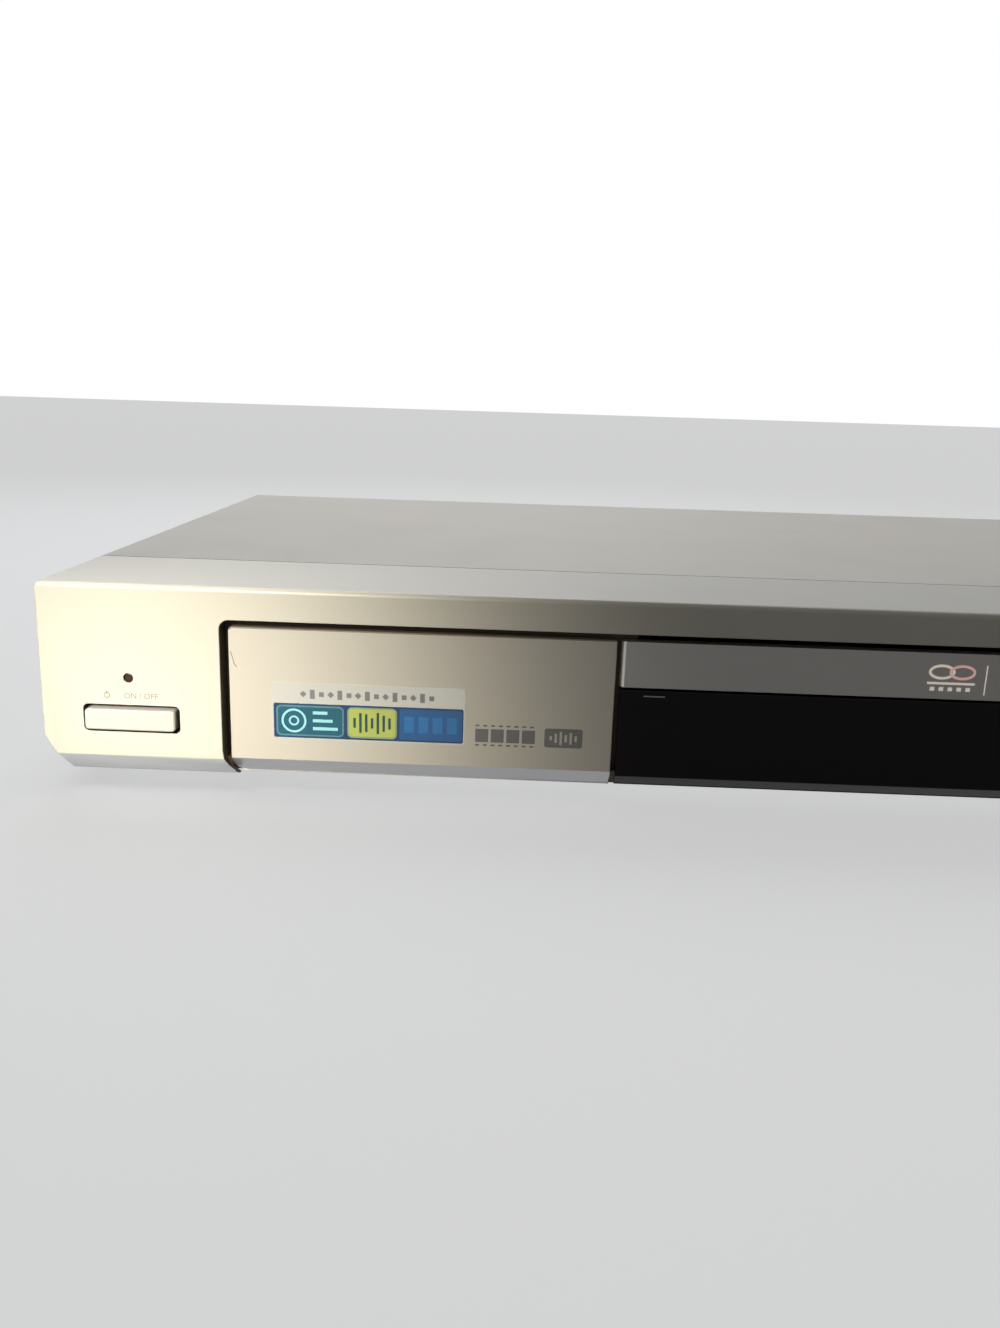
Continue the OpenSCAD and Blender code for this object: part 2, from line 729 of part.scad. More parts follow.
module guide_rods() color("#dcdee0")
  for (side = [-1, 1]) bar_y([side * rod_x, rod_z], rod_y, rod_r);

module spindle_motor() color("#8c8f93")
  translate([0, disc_y, 0])
    difference() {
      union() {
        post([0, 0], [base_z[1], 26], 13.5);
        post([0, 0], [25.9, 28], 9);
      }
      post([0, 0], [base_z[1] - 1, 30], 1.56);
    }

module turntable() color("#34363a")
  translate([0, disc_y, 0])
    rotate_extrude()
      polygon([
        [0, 25], [1.5, 25], [1.5, 28.4], [10, 28.4], [10, 26.4], [13, 26.4], [13, 33], [12, 34],
        [6, 34], [6, 36.6], [14.8, 36.6], [14.8, spin_seat], [7.4, spin_seat], [7.2, 39.2],
        [5.4, 40.4], [0, 40.4]
      ]);

module pickup_sled() color("#3a3c40")
  difference() {
    union() {
      span([-18.5, 18.5], [lens_y - 8, lens_y + 18], [17, 30]);
      span([-rod_x - 3.6, -18], [lens_y - 5, lens_y + 18], [rod_z - 3.2, rod_z + 2.8]);
      span([18, rod_x + 3.6], [lens_y + 4, lens_y + 14], [rod_z - 3.2, rod_z + 2.8]);
      span([rod_x + 3, screw_x - screw_r - 0.3], [lens_y + 6, lens_y + 12], [rod_z - 1.2, rod_z + 1.2]);
    }
    bar_y([-rod_x, rod_z], [lens_y - 30, lens_y + 40], rod_r + 0.05);
    bar_y([rod_x, rod_z], [lens_y - 30, lens_y + 40], rod_r + 0.05);
    span([-13, 13], [lens_y - 6.5, lens_y + 11], [24, 31]);
    post([0, lens_y], [18, 25], 3);
  }

module lens_holder() color("#17181a")
  difference() {
    union() {
      span([-11.4, 11.4], [lens_y - 4.8, lens_y + 4.8], [26, 34]);
      post([0, lens_y], [33.9, 35.2], 4);
    }
    post([0, lens_y], [25, 40], 2.1);
  }

module objective_lens() color("#9fb7d8")
  translate([0, lens_y, 0])
    rotate_extrude() polygon([[0, 33.5], [2.1, 33.5], [2.1, 35], [1.5, 35.7], [0.8, 36.1], [0, 36.1]]);

module sled_motor() color("#c1c3c6")
  difference() {
    bar_y([screw_x, rod_z], [-29, -14], 4);
    bar_y([screw_x, rod_z], [-27, -13], screw_r + 0.06);
  }

// Shaft with the grooves of its thread
module lead_screw() color("#d2d4d6")
  difference() {
    bar_y([screw_x, rod_z], [-26, 54.5], screw_r);
    for (y = [-9:2:49])
      translate([screw_x, y, rod_z])
        rotate([90, 0, 0])
          rotate_extrude() polygon([[screw_r - 0.4, 0], [screw_r + 1, -1.1], [screw_r + 1, 1.1]]);
  }

// ---- electronics ----

module board(x, y)
  difference() {
    span(x, y, [board_z, board_z + board_t]);
    for (at = BOARD_POSTS) post(at, [board_z - 1, board_z + 3], 1.3);
  }

module main_board() color("#2f6b3c") board([86, 205], [-30, rear_y - 3]);

module power_board() color("#b08a4e") board([-205, -88], [-10, rear_y - 3]);

module main_chips() color("#1f2022") {
  for (chip = [[118, 0, 26], [150, 2, 14], [118, 34, 14], [146, 30, 20], [176, 10, 12], [176, 40, 10]])
    translate([chip[0], chip[1], board_z + board_t]) cube([chip[2], chip[2] * 0.8, 2]);
}

module can(at, r, h)
  post(at, [board_z + board_t, board_z + board_t + h], r);

module mains_capacitor() color("#23262e") can([-176, 22], 11, 28);

module capacitors() color("#2a2f45") {
  for (x = [-112, -102], y = [10, 24, 38]) can([x, y], 4, 16);
  for (y = [-16, -4, 50]) can([104, y], 3.1, 11);
  can([-196, 44], 5, 12);
}

module transformer() color("#c9b23a")
  union() {
    span([-150, -122], [6, 34], [board_z + board_t, board_z + board_t + 20]);
    span([-146, -126], [1, 39], [board_z + board_t + 4, board_z + board_t + 16]);
  }

module heat_sink() color("#aeb1b4")
  union() {
    span([-160, -120], [52, 54], [board_z + board_t, board_z + board_t + 26]);
    for (x = [-159:6:-121]) span([x, x + 1.6], [53.9, 62], [board_z + board_t, board_z + board_t + 26]);
  }

module fuse() color("#d8d8d2")
  union() {
    bar_x([66, board_z + board_t + 5], [-186, -166], 2.6);
    for (x = [-185, -171]) span([x, x + 4], [63, 69], [board_z + board_t, board_z + board_t + 5]);
  }

module display_board() color("#2f6b3c") span([-76, 76], [pocket_y + 4, pocket_y + 5.6], [8, 28.4]);

module display_tube() color("#1c2a2c") span([-60, 60], [pocket_y - 1.4, pocket_y + 4], [12, 26]);

module power_key_board() color("#b08a4e")
  span([-208, -180], [key_board_y, key_board_y + board_t], [12, 34]);

module control_key_board() color("#b08a4e")
  span([86, 168], [key_board_y, key_board_y + board_t], [12, 26]);

module key_switches() color("#b8babd")
  for (x = [power_at.x, for (key = KEYS) key[0]])
    union() {
      span([x - 3, x + 3], [key_board_y - 2.4, key_board_y], [key_z - 3, key_z + 3]);
      bar_y([x, key_z], [key_board_y - 3.4, key_board_y - 2.3], 1.7);
    }

// Flat cable from the loader to the main board
module ribbon_cable() color("#e6e7e3")
  translate([0, 66, 0])
    rotate([90, 0, 0])
      linear_extrude(16)
        polygon([
          [frame_half, 20], [frame_half + 0.4, 20], [frame_half + 0.4, 24], [92, 24], [92, board_z + board_t],
          [92.4, board_z + board_t], [92.4, 24.4], [frame_half, 24.4]
        ]);

// ---- rear sockets ----

module ac_inlet() color("#1b1b1c")
  union() {
    difference() {
      union() {
        span([inlet_at.x - 10, inlet_at.x + 10], [78, rear_y + 0.1], [inlet_at.y - 6.5, inlet_at.y + 6.5]);
        span([inlet_at.x - 12, inlet_at.x + 12], [rear_y, rear_y + 2], [inlet_at.y - 8.5, inlet_at.y + 8.5]);
      }
      for (side = [-1, 1]) bar_y([inlet_at.x + side * 4.3, inlet_at.y], [82, rear_y + 3], 3.4);
      span([inlet_at.x - 4.3, inlet_at.x + 4.3], [82, rear_y + 3], [inlet_at.y - 3.3, inlet_at.y + 3.3]);
    }
    for (side = [-1, 1]) bar_y([inlet_at.x + side * 4.3, inlet_at.y], [81, rear_y - 0.5], 1.2);
  }

// Phono jack: a flange inside the panel, a sleeve and its centre hole
module jack(at)
  difference() {
    union() {
      bar_y(at, [rear_y - 2, depth / 2], jack_r);
      bar_y(at, [rear_y - 2, rear_y + 1], 4.8);
    }
    bar_y(at, [rear_y - 1, depth / 2 + 1], 1.65);
    difference() {
      bar_y(at, [rear_y + 4, depth / 2 + 1], jack_r - 0.5);
      bar_y(at, [rear_y + 3, depth / 2 + 2], jack_r - 1.2);
    }
  }

module analogue_jacks() color("#2c2c2e")
  union() {
    span([JACK_X[0] - 8, JACK_X[2] + 8], [rear_y - 16, rear_y - 1], [board_z + board_t, 43]);
    for (x = JACK_X, z = JACK_Z) jack([x, z]);
    bar_y([158, 28], [rear_y - 10, rear_y + 2], 6.2);
    span([151, 165], [rear_y - 12, rear_y - 1], [board_z + board_t, 35]);
  }

module digital_sockets() color("#2c2c2e")
  union() {
    span([172, 188], [rear_y - 16, rear_y - 1], [board_z + board_t, 43]);
    jack([180, 36]);
    difference() {
      span([175, 185], [rear_y - 2, rear_y + 2.5], [15, 25]);
      span([177, 183], [rear_y + 1, rear_y + 3], [17, 23]);
    }
  }

front_panel();
left_insert();
right_insert();
display_window();
standby_lens();
power_button();
open_close_button();
play_button();
stop_button();
skip_back_button();
skip_forward_button();
top_cover();
bottom_chassis();
rear_panel();
feet();
foot_pads();
case_screws();
inner_screws();
loader_frame();
disc_tray();
tray_door();
loading_motor();
motor_pulley();
loading_belt();
pulley_gear();
drive_gear();
cam_slider();
clamp_bridge();
clamper_pad();
clamper_cap();
clamper_magnet();
deck_holder();
deck_dampers();
damper_screws();
traverse_base();
spindle_motor();
turntable();
guide_rods();
pickup_sled();
lens_holder();
objective_lens();
sled_motor();
lead_screw();
main_board();
main_chips();
power_board();
mains_capacitor();
capacitors();
transformer();
heat_sink();
fuse();
display_board();
display_tube();
power_key_board();
control_key_board();
key_switches();
ribbon_cable();
ac_inlet();
analogue_jacks();
digital_sockets();
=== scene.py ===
"""Looks of a slim silver disc player with a sliding tray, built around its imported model.

Sizes are in millimetres, apart from the studio's, which are in metres. Every piece stands in the
model's own frame: +X to the right seen from the front, +Y towards the back, +Z up from the floor.
"""

import json
import logging
import math
from collections.abc import Callable, Sequence
from dataclasses import dataclass, field
from enum import Enum
from functools import cache

import bmesh
import bpy
from mathutils import Matrix, Vector


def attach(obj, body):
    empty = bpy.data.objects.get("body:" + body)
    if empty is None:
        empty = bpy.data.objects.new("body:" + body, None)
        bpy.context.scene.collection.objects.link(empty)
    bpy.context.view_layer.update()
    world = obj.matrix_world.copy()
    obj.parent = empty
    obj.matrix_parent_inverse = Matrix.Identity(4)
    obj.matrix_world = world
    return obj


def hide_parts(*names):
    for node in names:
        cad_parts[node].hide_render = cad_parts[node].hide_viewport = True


LOG = logging.getLogger("player")
MM = 0.001
MICRON = 0.000001

Piece = bpy.types.Object
Socket = bpy.types.NodeSocket
Colour = tuple[float, float, float]
Point = tuple[float, float, float]
Pair = tuple[float, float]
Inputs = dict[str | int, object]
EdgeTest = Callable[[Vector, Vector, float], bool]
FaceTest = Callable[[Vector, Vector], bool]

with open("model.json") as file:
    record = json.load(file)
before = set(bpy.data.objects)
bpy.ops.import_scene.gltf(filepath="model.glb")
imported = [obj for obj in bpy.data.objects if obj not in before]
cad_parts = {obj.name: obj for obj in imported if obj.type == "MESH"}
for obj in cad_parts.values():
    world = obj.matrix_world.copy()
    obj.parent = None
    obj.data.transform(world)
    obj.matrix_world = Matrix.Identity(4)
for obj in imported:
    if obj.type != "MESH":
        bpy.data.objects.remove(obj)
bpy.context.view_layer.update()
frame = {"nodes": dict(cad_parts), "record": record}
BODY_OF = {node: body for body, nodes in frame["record"]["behaviour"]["bodies"].items() for node in nodes}


# ---------------------------------------------------------------- shader nodes


class Wiring:
    """Adds nodes to one node tree and links them.

    Attributes:
        tree: The tree.
    """

    step = 190.0

    def __init__(self, tree: bpy.types.NodeTree) -> None:
        """Keeps the tree that the nodes go into."""
        self.tree = tree

    def add(self, kind: str, inputs: Inputs | None = None, **settings: object) -> bpy.types.Node:
        """Adds a node.

        Args:
            kind: The node's type, without its leading word for plain shader nodes.
            inputs: What its inputs get, as in fill.
            settings: Its own properties.

        Returns:
            The new node.
        """
        node = self.tree.nodes.new(kind if kind.startswith("NodeGroup") else f"ShaderNode{kind}")
        node.location.x = self.step * len(self.tree.nodes)
        for key, value in settings.items():
            setattr(node, key, value)
        self.fill(node, inputs or {})
        return node

    def fill(self, node: bpy.types.Node, inputs: Inputs) -> None:
        """Links or sets inputs of a node.

        Args:
            node: The node.
            inputs: A socket, a number, a vector or a colour for each input, by its name or its place.
        """
        for key, value in inputs.items():
            target = node.inputs[key]
            if isinstance(value, Socket):
                self.tree.links.new(value, target)
            else:
                target.default_value = (*value, 1.0) if target.type == "RGBA" else value

    def place(self) -> Socket:
        """Gives the object's own coordinates."""
        return self.add("TexCoord").outputs["Object"]

    def math(self, operation: str, first: object, second: object, clamp: bool = False) -> Socket:
        """Works out a sum of two sockets or numbers, kept between 0 and 1 if clamp is set."""
        return self.add("Math", {0: first, 1: second}, operation=operation, use_clamp=clamp).outputs[0]

    def mix(self, factor: object, first: object, second: object) -> Socket:
        """Mixes two colours, which are the inputs 6 and 7 of their node."""
        return self.add("Mix", {0: factor, 6: first, 7: second}, data_type="RGBA").outputs[2]

    def noise(self, vector: Socket, scale: object, detail: float) -> Socket:
        """Reads a noise texture at a vector, with a scale per metre and a number of finer layers."""
        return self.add("TexNoise", {"Vector": vector, "Scale": scale, "Detail": detail}).outputs[0]

    def span(self, value: Socket, low: float, high: float) -> Socket:
        """Maps a value from the range low to high onto 0 to 1."""
        ends = {"Value": value, "From Min": low, "From Max": high}
        return self.add("MapRange", ends, clamp=True).outputs[0]


class Effects:
    """Shader node groups that the finishes share, each built once."""

    @staticmethod
    def open(name: str, inputs: dict[str, float], outputs: Sequence[str]) -> tuple:
        """Makes an empty group with its sockets.

        Args:
            name: The group's name.
            inputs: The inputs' names and first values.
            outputs: The outputs' names.

        Returns:
            The wiring and the sockets that the group's inputs come in by.
        """
        tree = bpy.data.node_groups.new(name, "ShaderNodeTree")
        for key, value in inputs.items():
            socket = tree.interface.new_socket(key, in_out="INPUT", socket_type="NodeSocketFloat")
            socket.default_value = value
        for key in outputs:
            tree.interface.new_socket(key, in_out="OUTPUT", socket_type="NodeSocketFloat")
        wiring = Wiring(tree)
        return wiring, wiring.add("NodeGroupInput").outputs

    @staticmethod
    @cache
    def grain() -> bpy.types.NodeTree:
        """Makes fine moulded or sprayed grain.

        Returns:
            The group, which gives a height, a mask of single specks and a slow drift of tone.
        """
        wiring, given = Effects.open("grain", {"Scale": 2500.0, "Drift": 12.0}, ("Height", "Speck", "Drift"))
        place = wiring.place()
        cells = wiring.add("TexVoronoi", {"Vector": place, "Scale": given["Scale"]})
        masks = {
            "Height": wiring.noise(place, given["Scale"], 2.0),
            "Speck": wiring.span(cells.outputs["Distance"], 0.15, 0.75),
            "Drift": wiring.span(wiring.noise(place, given["Drift"], 4.0), 0.3, 0.7),
        }
        wiring.add("NodeGroupOutput", masks)
        return wiring.tree

    @staticmethod
    @cache
    def wear() -> bpy.types.NodeTree:
        """Makes handling marks.

        Returns:
            The group, which gives masks of smears from fingers, hair scratches and settled dust.
        """
        wiring, given = Effects.open("wear", {"Amount": 0.3}, ("Smear", "Scratch", "Dust"))
        place = wiring.place()
        stretch = {"Vector": place, "Rotation": (0.1, 0.35, 0.2), "Scale": (14.0, 60.0, 900.0)}
        hairs = wiring.add("Mapping", stretch)
        facing = wiring.add("SeparateXYZ", {0: wiring.add("NewGeometry").outputs["Normal"]})
        specks = wiring.span(wiring.noise(place, 420.0, 4.0), 0.5, 0.75)
        masks = {
            "Smear": wiring.span(wiring.noise(place, 38.0, 5.0), 0.48, 0.72),
            "Scratch": wiring.span(wiring.noise(hairs.outputs[0], 1.0, 1.0), 0.7, 0.73),
            "Dust": wiring.math("MULTIPLY", wiring.span(facing.outputs["Z"], 0.55, 1.0), specks),
        }
        marks = {key: wiring.math("MULTIPLY", mask, given["Amount"]) for key, mask in masks.items()}
        wiring.add("NodeGroupOutput", marks)
        return wiring.tree


# ---------------------------------------------------------------- finishes

DUST = (0.55, 0.53, 0.5)
DUST_SHARE = 0.35
DRIFT_SHARE = 0.35
SMEAR_ROUGHNESS = 0.18
SCRATCH_ROUGHNESS = -0.1
COAT_ROUGHNESS = 0.12


@dataclass(frozen=True)
class Finish:
    """A finish with grain, drift of tone and handling marks.

    Attributes:
        name: What the finish is called.
        colour: Its main colour.
        second: The colour that it drifts and specks towards.
        metallic: How metallic it is.
        roughness: Its roughness.
        grain: The grain's scale per metre.
        depth: The grain's depth in microns.
        speck: How much single specks change the colour.
        wear: How strong the handling marks are.
        coat: Weight of a clear coat.
        drift: Scale of the slow change of tone.
        specular: How strongly its surface reflects.
    """

    name: str
    colour: Colour
    second: Colour
    metallic: float
    roughness: float
    grain: float
    depth: float
    speck: float = 0.2
    wear: float = 0.2
    coat: float = 0.0
    drift: float = 12.0
    specular: float = 0.5

    @cache
    def material(self) -> bpy.types.Material:
        """Builds the finish's material, the first time that it is asked for.

        Returns:
            The material.
        """
        made = bpy.data.materials.new(f"{self.name}_finish")
        made.use_nodes = True
        made.diffuse_color = (*self.colour, 1.0)
        wiring = Wiring(made.node_tree)
        scales = {"Scale": self.grain, "Drift": self.drift}
        grain = wiring.add("Group", scales, node_tree=Effects.grain()).outputs
        wear = wiring.add("Group", {"Amount": self.wear}, node_tree=Effects.wear()).outputs
        relief = {"Distance": self.depth * MICRON, "Strength": 1.0, "Height": grain["Height"]}
        bump = wiring.add("Bump", relief)
        specks = wiring.math("MULTIPLY", grain["Speck"], self.speck)
        drift = wiring.math("MULTIPLY", grain["Drift"], DRIFT_SHARE)
        tone = wiring.mix(wiring.math("ADD", specks, drift, True), self.base(wiring), self.second)
        smeared = wiring.math("ADD", self.roughness, wiring.math("MULTIPLY", wear["Smear"], SMEAR_ROUGHNESS))
        scratched = wiring.math("MULTIPLY", wear["Scratch"], SCRATCH_ROUGHNESS)
        surface = {
            "Base Color": wiring.mix(wiring.math("MULTIPLY", wear["Dust"], DUST_SHARE), tone, DUST),
            "Roughness": wiring.math("ADD", smeared, scratched, True),
            "Normal": bump.outputs[0],
            "Metallic": self.metallic,
            "Specular IOR Level": self.specular,
            "Coat Weight": self.coat,
            "Coat Roughness": COAT_ROUGHNESS,
        }
        wiring.fill(made.node_tree.nodes["Principled BSDF"], surface)
        return made

    def base(self, wiring: Wiring) -> object:
        """Gives the colour under the grain: the plain colour, unless a finish has a pattern."""
        return self.colour


@dataclass(frozen=True)
class Paint(Finish):
    """Silver paint on a moulding or a sheet."""

    grain: float = 3200.0
    depth: float = 6.0
    wear: float = 0.25


@dataclass(frozen=True)
class Plastic(Finish):
    """Moulded plastic in its own colour."""

    metallic: float = 0.0
    roughness: float = 0.4
    grain: float = 1800.0
    depth: float = 10.0


@dataclass(frozen=True)
class Ink(Finish):
    """Printed ink."""

    metallic: float = 0.1
    roughness: float = 0.45
    grain: float = 2600.0
    depth: float = 4.0
    speck: float = 0.3
    wear: float = 0.1


@dataclass(frozen=True)
class Label(Finish):
    """A glossy field of the sticker."""

    metallic: float = 0.1
    roughness: float = 0.25
    grain: float = 700.0
    depth: float = 3.0
    speck: float = 0.3
    coat: float = 0.4
    drift: float = 60.0


@dataclass(frozen=True)
class BoardFinish(Finish):
    """Finish of a printed board: tracks show under its mask, and drilled pads stand in rows.

    Attributes:
        track: The tracks' colour.
        pad: The pads' colour.
    """

    track: Colour = (0.06, 0.27, 0.12)
    pad: Colour = (0.5, 0.5, 0.46)

    def base(self, wiring: Wiring) -> Socket:
        """Draws tracks as the edges of bricks and pads as dots on a grid, over the board's colour.

        Args:
            wiring: The material's wiring.

        Returns:
            The colour.
        """
        place = wiring.place()
        mortar = {"Mortar Size": 0.055, "Mortar Smooth": 0.0}
        bricks = {"Vector": place, "Scale": 120.0, "Brick Width": 1.9, **mortar}
        edges = wiring.add("TexBrick", bricks, offset=0.5, squash=0.6, squash_frequency=3).outputs["Fac"]
        lanes = wiring.span(wiring.noise(place, 55.0, 1.0), 0.42, 0.46)
        tracked = wiring.mix(wiring.math("MULTIPLY", edges, lanes), self.colour, self.track)
        dots = wiring.add("TexVoronoi", {"Vector": place, "Scale": 330.0, "Randomness": 0.25})
        hole = wiring.math("LESS_THAN", dots.outputs["Distance"], 0.2)
        rows = wiring.math("GREATER_THAN", wiring.noise(place, 38.0, 1.0), 0.48)
        return wiring.mix(wiring.math("MULTIPLY", hole, rows), tracked, self.pad)


# Front
SILVER = Paint("silver_paint", (0.63, 0.595, 0.49), (0.58, 0.545, 0.455), 0.04, 0.4, coat=0.05, specular=0.3)
# Painted shade: a darker, greyer copy of the silver paint for the panel's top, which is less lit than its
# face.
SILVER_TOP_SHADE = Paint("silver_top_painted_shade", (0.49, 0.485, 0.455), (0.45, 0.445, 0.42), 0.25, 0.5, specular=0.3)
# Painted reflection: a bluer grey, more metallic copy of the silver paint for the lower bevels, standing for
# the floor that they mirror.
SILVER_BEVEL_REFLECTION = Paint(
    "silver_bevel_painted_reflection", (0.56, 0.565, 0.58), (0.52, 0.525, 0.54), 0.75, 0.4, wear=0.2, specular=0.3
)
# Painted shadow that the panel's overhang casts on the inserts' upper rims.
PAINTED_RIM_SHADOW = Paint("painted_rim_shadow", (0.16, 0.125, 0.085), (0.2, 0.16, 0.11), 0.1, 0.5, wear=0.1)
INSERT = Paint("insert_paint", (0.605, 0.56, 0.465), (0.555, 0.51, 0.425), 0.05, 0.36, coat=0.15)
DOOR = Paint("door_paint", (0.48, 0.455, 0.415), (0.44, 0.415, 0.385), 0.12, 0.34, 3200, 5, 0.15, 0.2, 0.2)
# Painted highlight on the door's rounded upright ends: a brighter, more metallic copy of the door paint.
DOOR_EDGE_HIGHLIGHT = Paint("door_edge_highlight", (0.78, 0.76, 0.66), (0.7, 0.68, 0.6), 0.5, 0.3, 3200, 4, 0.15, 0.2, 0.2)
BUTTON = Paint("button_paint", (0.62, 0.58, 0.515), (0.57, 0.535, 0.48), 0.12, 0.3, 3200, 4, 0.15, 0.25, 0.25)
# Painted shade: dark brown in the groove, on the walls of the button's and the lamp's holes, and on the
# strips that close the grooves' lower ends.
PAINTED_GROOVE_SHADE = Plastic("painted_groove_shade", (0.05, 0.034, 0.018), (0.065, 0.046, 0.026), 0, 0.6, 2200, 20, wear=0.1)
HAIR = Plastic("hair_shade", (0.12, 0.10, 0.06), (0.16, 0.13, 0.08), 0, 0.6, 2200, 20, wear=0.1)
SMOKE, SMOKE_SPECK = (0.005, 0.0035, 0.004), (0.012, 0.0035, 0.0045)
WINDOW = Plastic("smoked_window", SMOKE, SMOKE_SPECK, 0, 0.08, 90, 2, 0.3, specular=0.07)
LAMP = Plastic("lamp_lens", (0.03, 0.014, 0.009), (0.022, 0.011, 0.007), 0, 0.2, 900, 2, 0.2, 0.1, 0.2)

# Prints and sticker
INK = Ink("grey_ink", (0.15, 0.148, 0.14), (0.19, 0.187, 0.175), roughness=0.5)
FAINT_INK = Ink("faint_ink", (0.26, 0.25, 0.205), (0.30, 0.285, 0.24))
ROW_INK = Ink("row_ink", (0.19, 0.19, 0.18), (0.23, 0.23, 0.22))
DEEP_INK = Ink("deep_ink", (0.02, 0.06, 0.055), (0.03, 0.08, 0.07), 0, 0.4, speck=0.2)
PALE_INK = Ink("pale_ink", (0.35, 0.72, 0.74), (0.3, 0.62, 0.66), 0, 0.4, speck=0.2)
ROSE_INK = Ink("rose_ink", (0.92, 0.46, 0.44), (0.9, 0.58, 0.5), 0.75, 0.3, speck=0.4, drift=160)
CREAM_INK = Ink("cream_ink", (0.95, 0.86, 0.72), (0.9, 0.76, 0.64), 0.75, 0.3, speck=0.4, drift=160)
FILM = Label("sticker_film", (0.67, 0.655, 0.58), (0.63, 0.615, 0.55), 0.3, 0.22, 500, 4, 0.2, 0.3, drift=12)
NAVY = Label("sticker_navy", (0.012, 0.055, 0.13), (0.012, 0.045, 0.11))
TEAL = Label("sticker_teal", (0.014, 0.115, 0.165), (0.014, 0.085, 0.13), depth=4, wear=0.3)
LIME = Label("sticker_lime", (0.52, 0.56, 0.12), (0.40, 0.50, 0.12), depth=4, wear=0.3)
BLUE = Label("sticker_blue", (0.02, 0.12, 0.32), (0.02, 0.09, 0.24), depth=4, wear=0.3)
MID_BLUE = Label("mid_blue", (0.03, 0.19, 0.46), (0.03, 0.15, 0.38), coat=0.3)
TEAL_RIM = Label("teal_rim", (0.10, 0.24, 0.29), (0.09, 0.2, 0.25), roughness=0.3, coat=0.3)
LIME_RIM = Label("lime_rim", (0.30, 0.38, 0.20), (0.26, 0.33, 0.18), roughness=0.3, coat=0.3)

# Case and rear
COVER = Paint(
    "cover_paint", (0.64, 0.62, 0.57), (0.58, 0.56, 0.515), 0.15, 0.5, 2600, 10, 0.3, 0.35, specular=0.3
)
REAR = Paint("rear_paint", (0.40, 0.405, 0.405), (0.34, 0.345, 0.345), 0.4, 0.45, 2600, 10, 0.25, 0.3)
ZINC = Finish("zinc_plate", (0.52, 0.53, 0.54), (0.42, 0.43, 0.45), 0.95, 0.36, 140, 6, 0.35, 0.3, drift=60)
SCREW = Finish("screw_zinc", (0.42, 0.43, 0.44), (0.33, 0.33, 0.33), 1, 0.32, 1800, 4, 0.3)
PLATED = Finish("plated_sleeve", (0.62, 0.61, 0.58), (0.52, 0.51, 0.48), 1, 0.24, 900, 3)
FOOT = Plastic("foot_plastic", (0.035, 0.035, 0.038), (0.05, 0.05, 0.052), 0, 0.55, 2200, 30, 0.3)
RUBBER = Plastic("black_rubber", (0.018, 0.018, 0.018), (0.035, 0.034, 0.033), 0, 0.75, 1500, 30, 0.4, 0.4)
SOCKET = Plastic("socket_plastic", (0.02, 0.02, 0.021), (0.032, 0.032, 0.033), 0, 0.45, 1700, 20, 0.3)
JACK_YELLOW = Plastic("jack_yellow", (0.75, 0.55, 0.02), (0.68, 0.5, 0.02))
JACK_WHITE = Plastic("jack_white", (0.72, 0.72, 0.70), (0.64, 0.64, 0.62))
JACK_RED = Plastic("jack_red", (0.55, 0.02, 0.015), (0.48, 0.02, 0.015))
JACK_GREEN = Plastic("jack_green", (0.02, 0.28, 0.06), (0.02, 0.23, 0.05))
JACK_BLUE = Plastic("jack_blue", (0.015, 0.07, 0.42), (0.015, 0.06, 0.35))
JACK_ORANGE = Plastic("jack_orange", (0.75, 0.22, 0.01), (0.66, 0.19, 0.01))

# Loader and traverse deck
LOADER = Plastic("loader_plastic", (0.022, 0.022, 0.024), (0.035, 0.035, 0.037), 0, 0.5, 1900, 30, 0.3)
TRAY = Plastic("tray_plastic", (0.05, 0.05, 0.053), (0.066, 0.066, 0.07), 0, 0.46, 2200, 40, 0.3, 0.3)
TRAY_WALL = Plastic("tray_walls", (0.028, 0.028, 0.03), (0.036, 0.036, 0.038), 0, 0.3, 2200)
ACETAL = Plastic("white_acetal", (0.72, 0.69, 0.60), (0.64, 0.61, 0.52), 0, 0.38, 1200)
HUB = Plastic("turntable_plastic", (0.03, 0.03, 0.033), (0.045, 0.045, 0.048), depth=20)
PICKUP = Plastic("pickup_body", (0.018, 0.018, 0.02), (0.03, 0.03, 0.032), 0, 0.42, 1700, 20)
LENS = Plastic("lens_coating", (0.10, 0.16, 0.34), (0.16, 0.10, 0.32), 0.2, 0.05, 300, 0.5, 0.2, 0, 1)
MOTOR = Finish("motor_can", (0.60, 0.61, 0.63), (0.48, 0.49, 0.51), 1, 0.28, 900, 4, 0.25)
BRIDGE = Finish("bridge_zinc", (0.58, 0.59, 0.60), (0.48, 0.49, 0.5), 1, 0.33, 160, 6, 0.3, 0.25, drift=50)
MAGNET = Finish("magnet_plate", (0.32, 0.33, 0.34), (0.25, 0.25, 0.26), 1, 0.3, 700, 4)
CASTING = Finish("base_casting", (0.45, 0.46, 0.47), (0.36, 0.37, 0.38), 0.9, 0.5, 1300, 30, 0.3)
ROD = Finish("polished_rod", (0.75, 0.76, 0.77), (0.68, 0.69, 0.7), 1, 0.14, 500, 1, 0.1, 0.1)

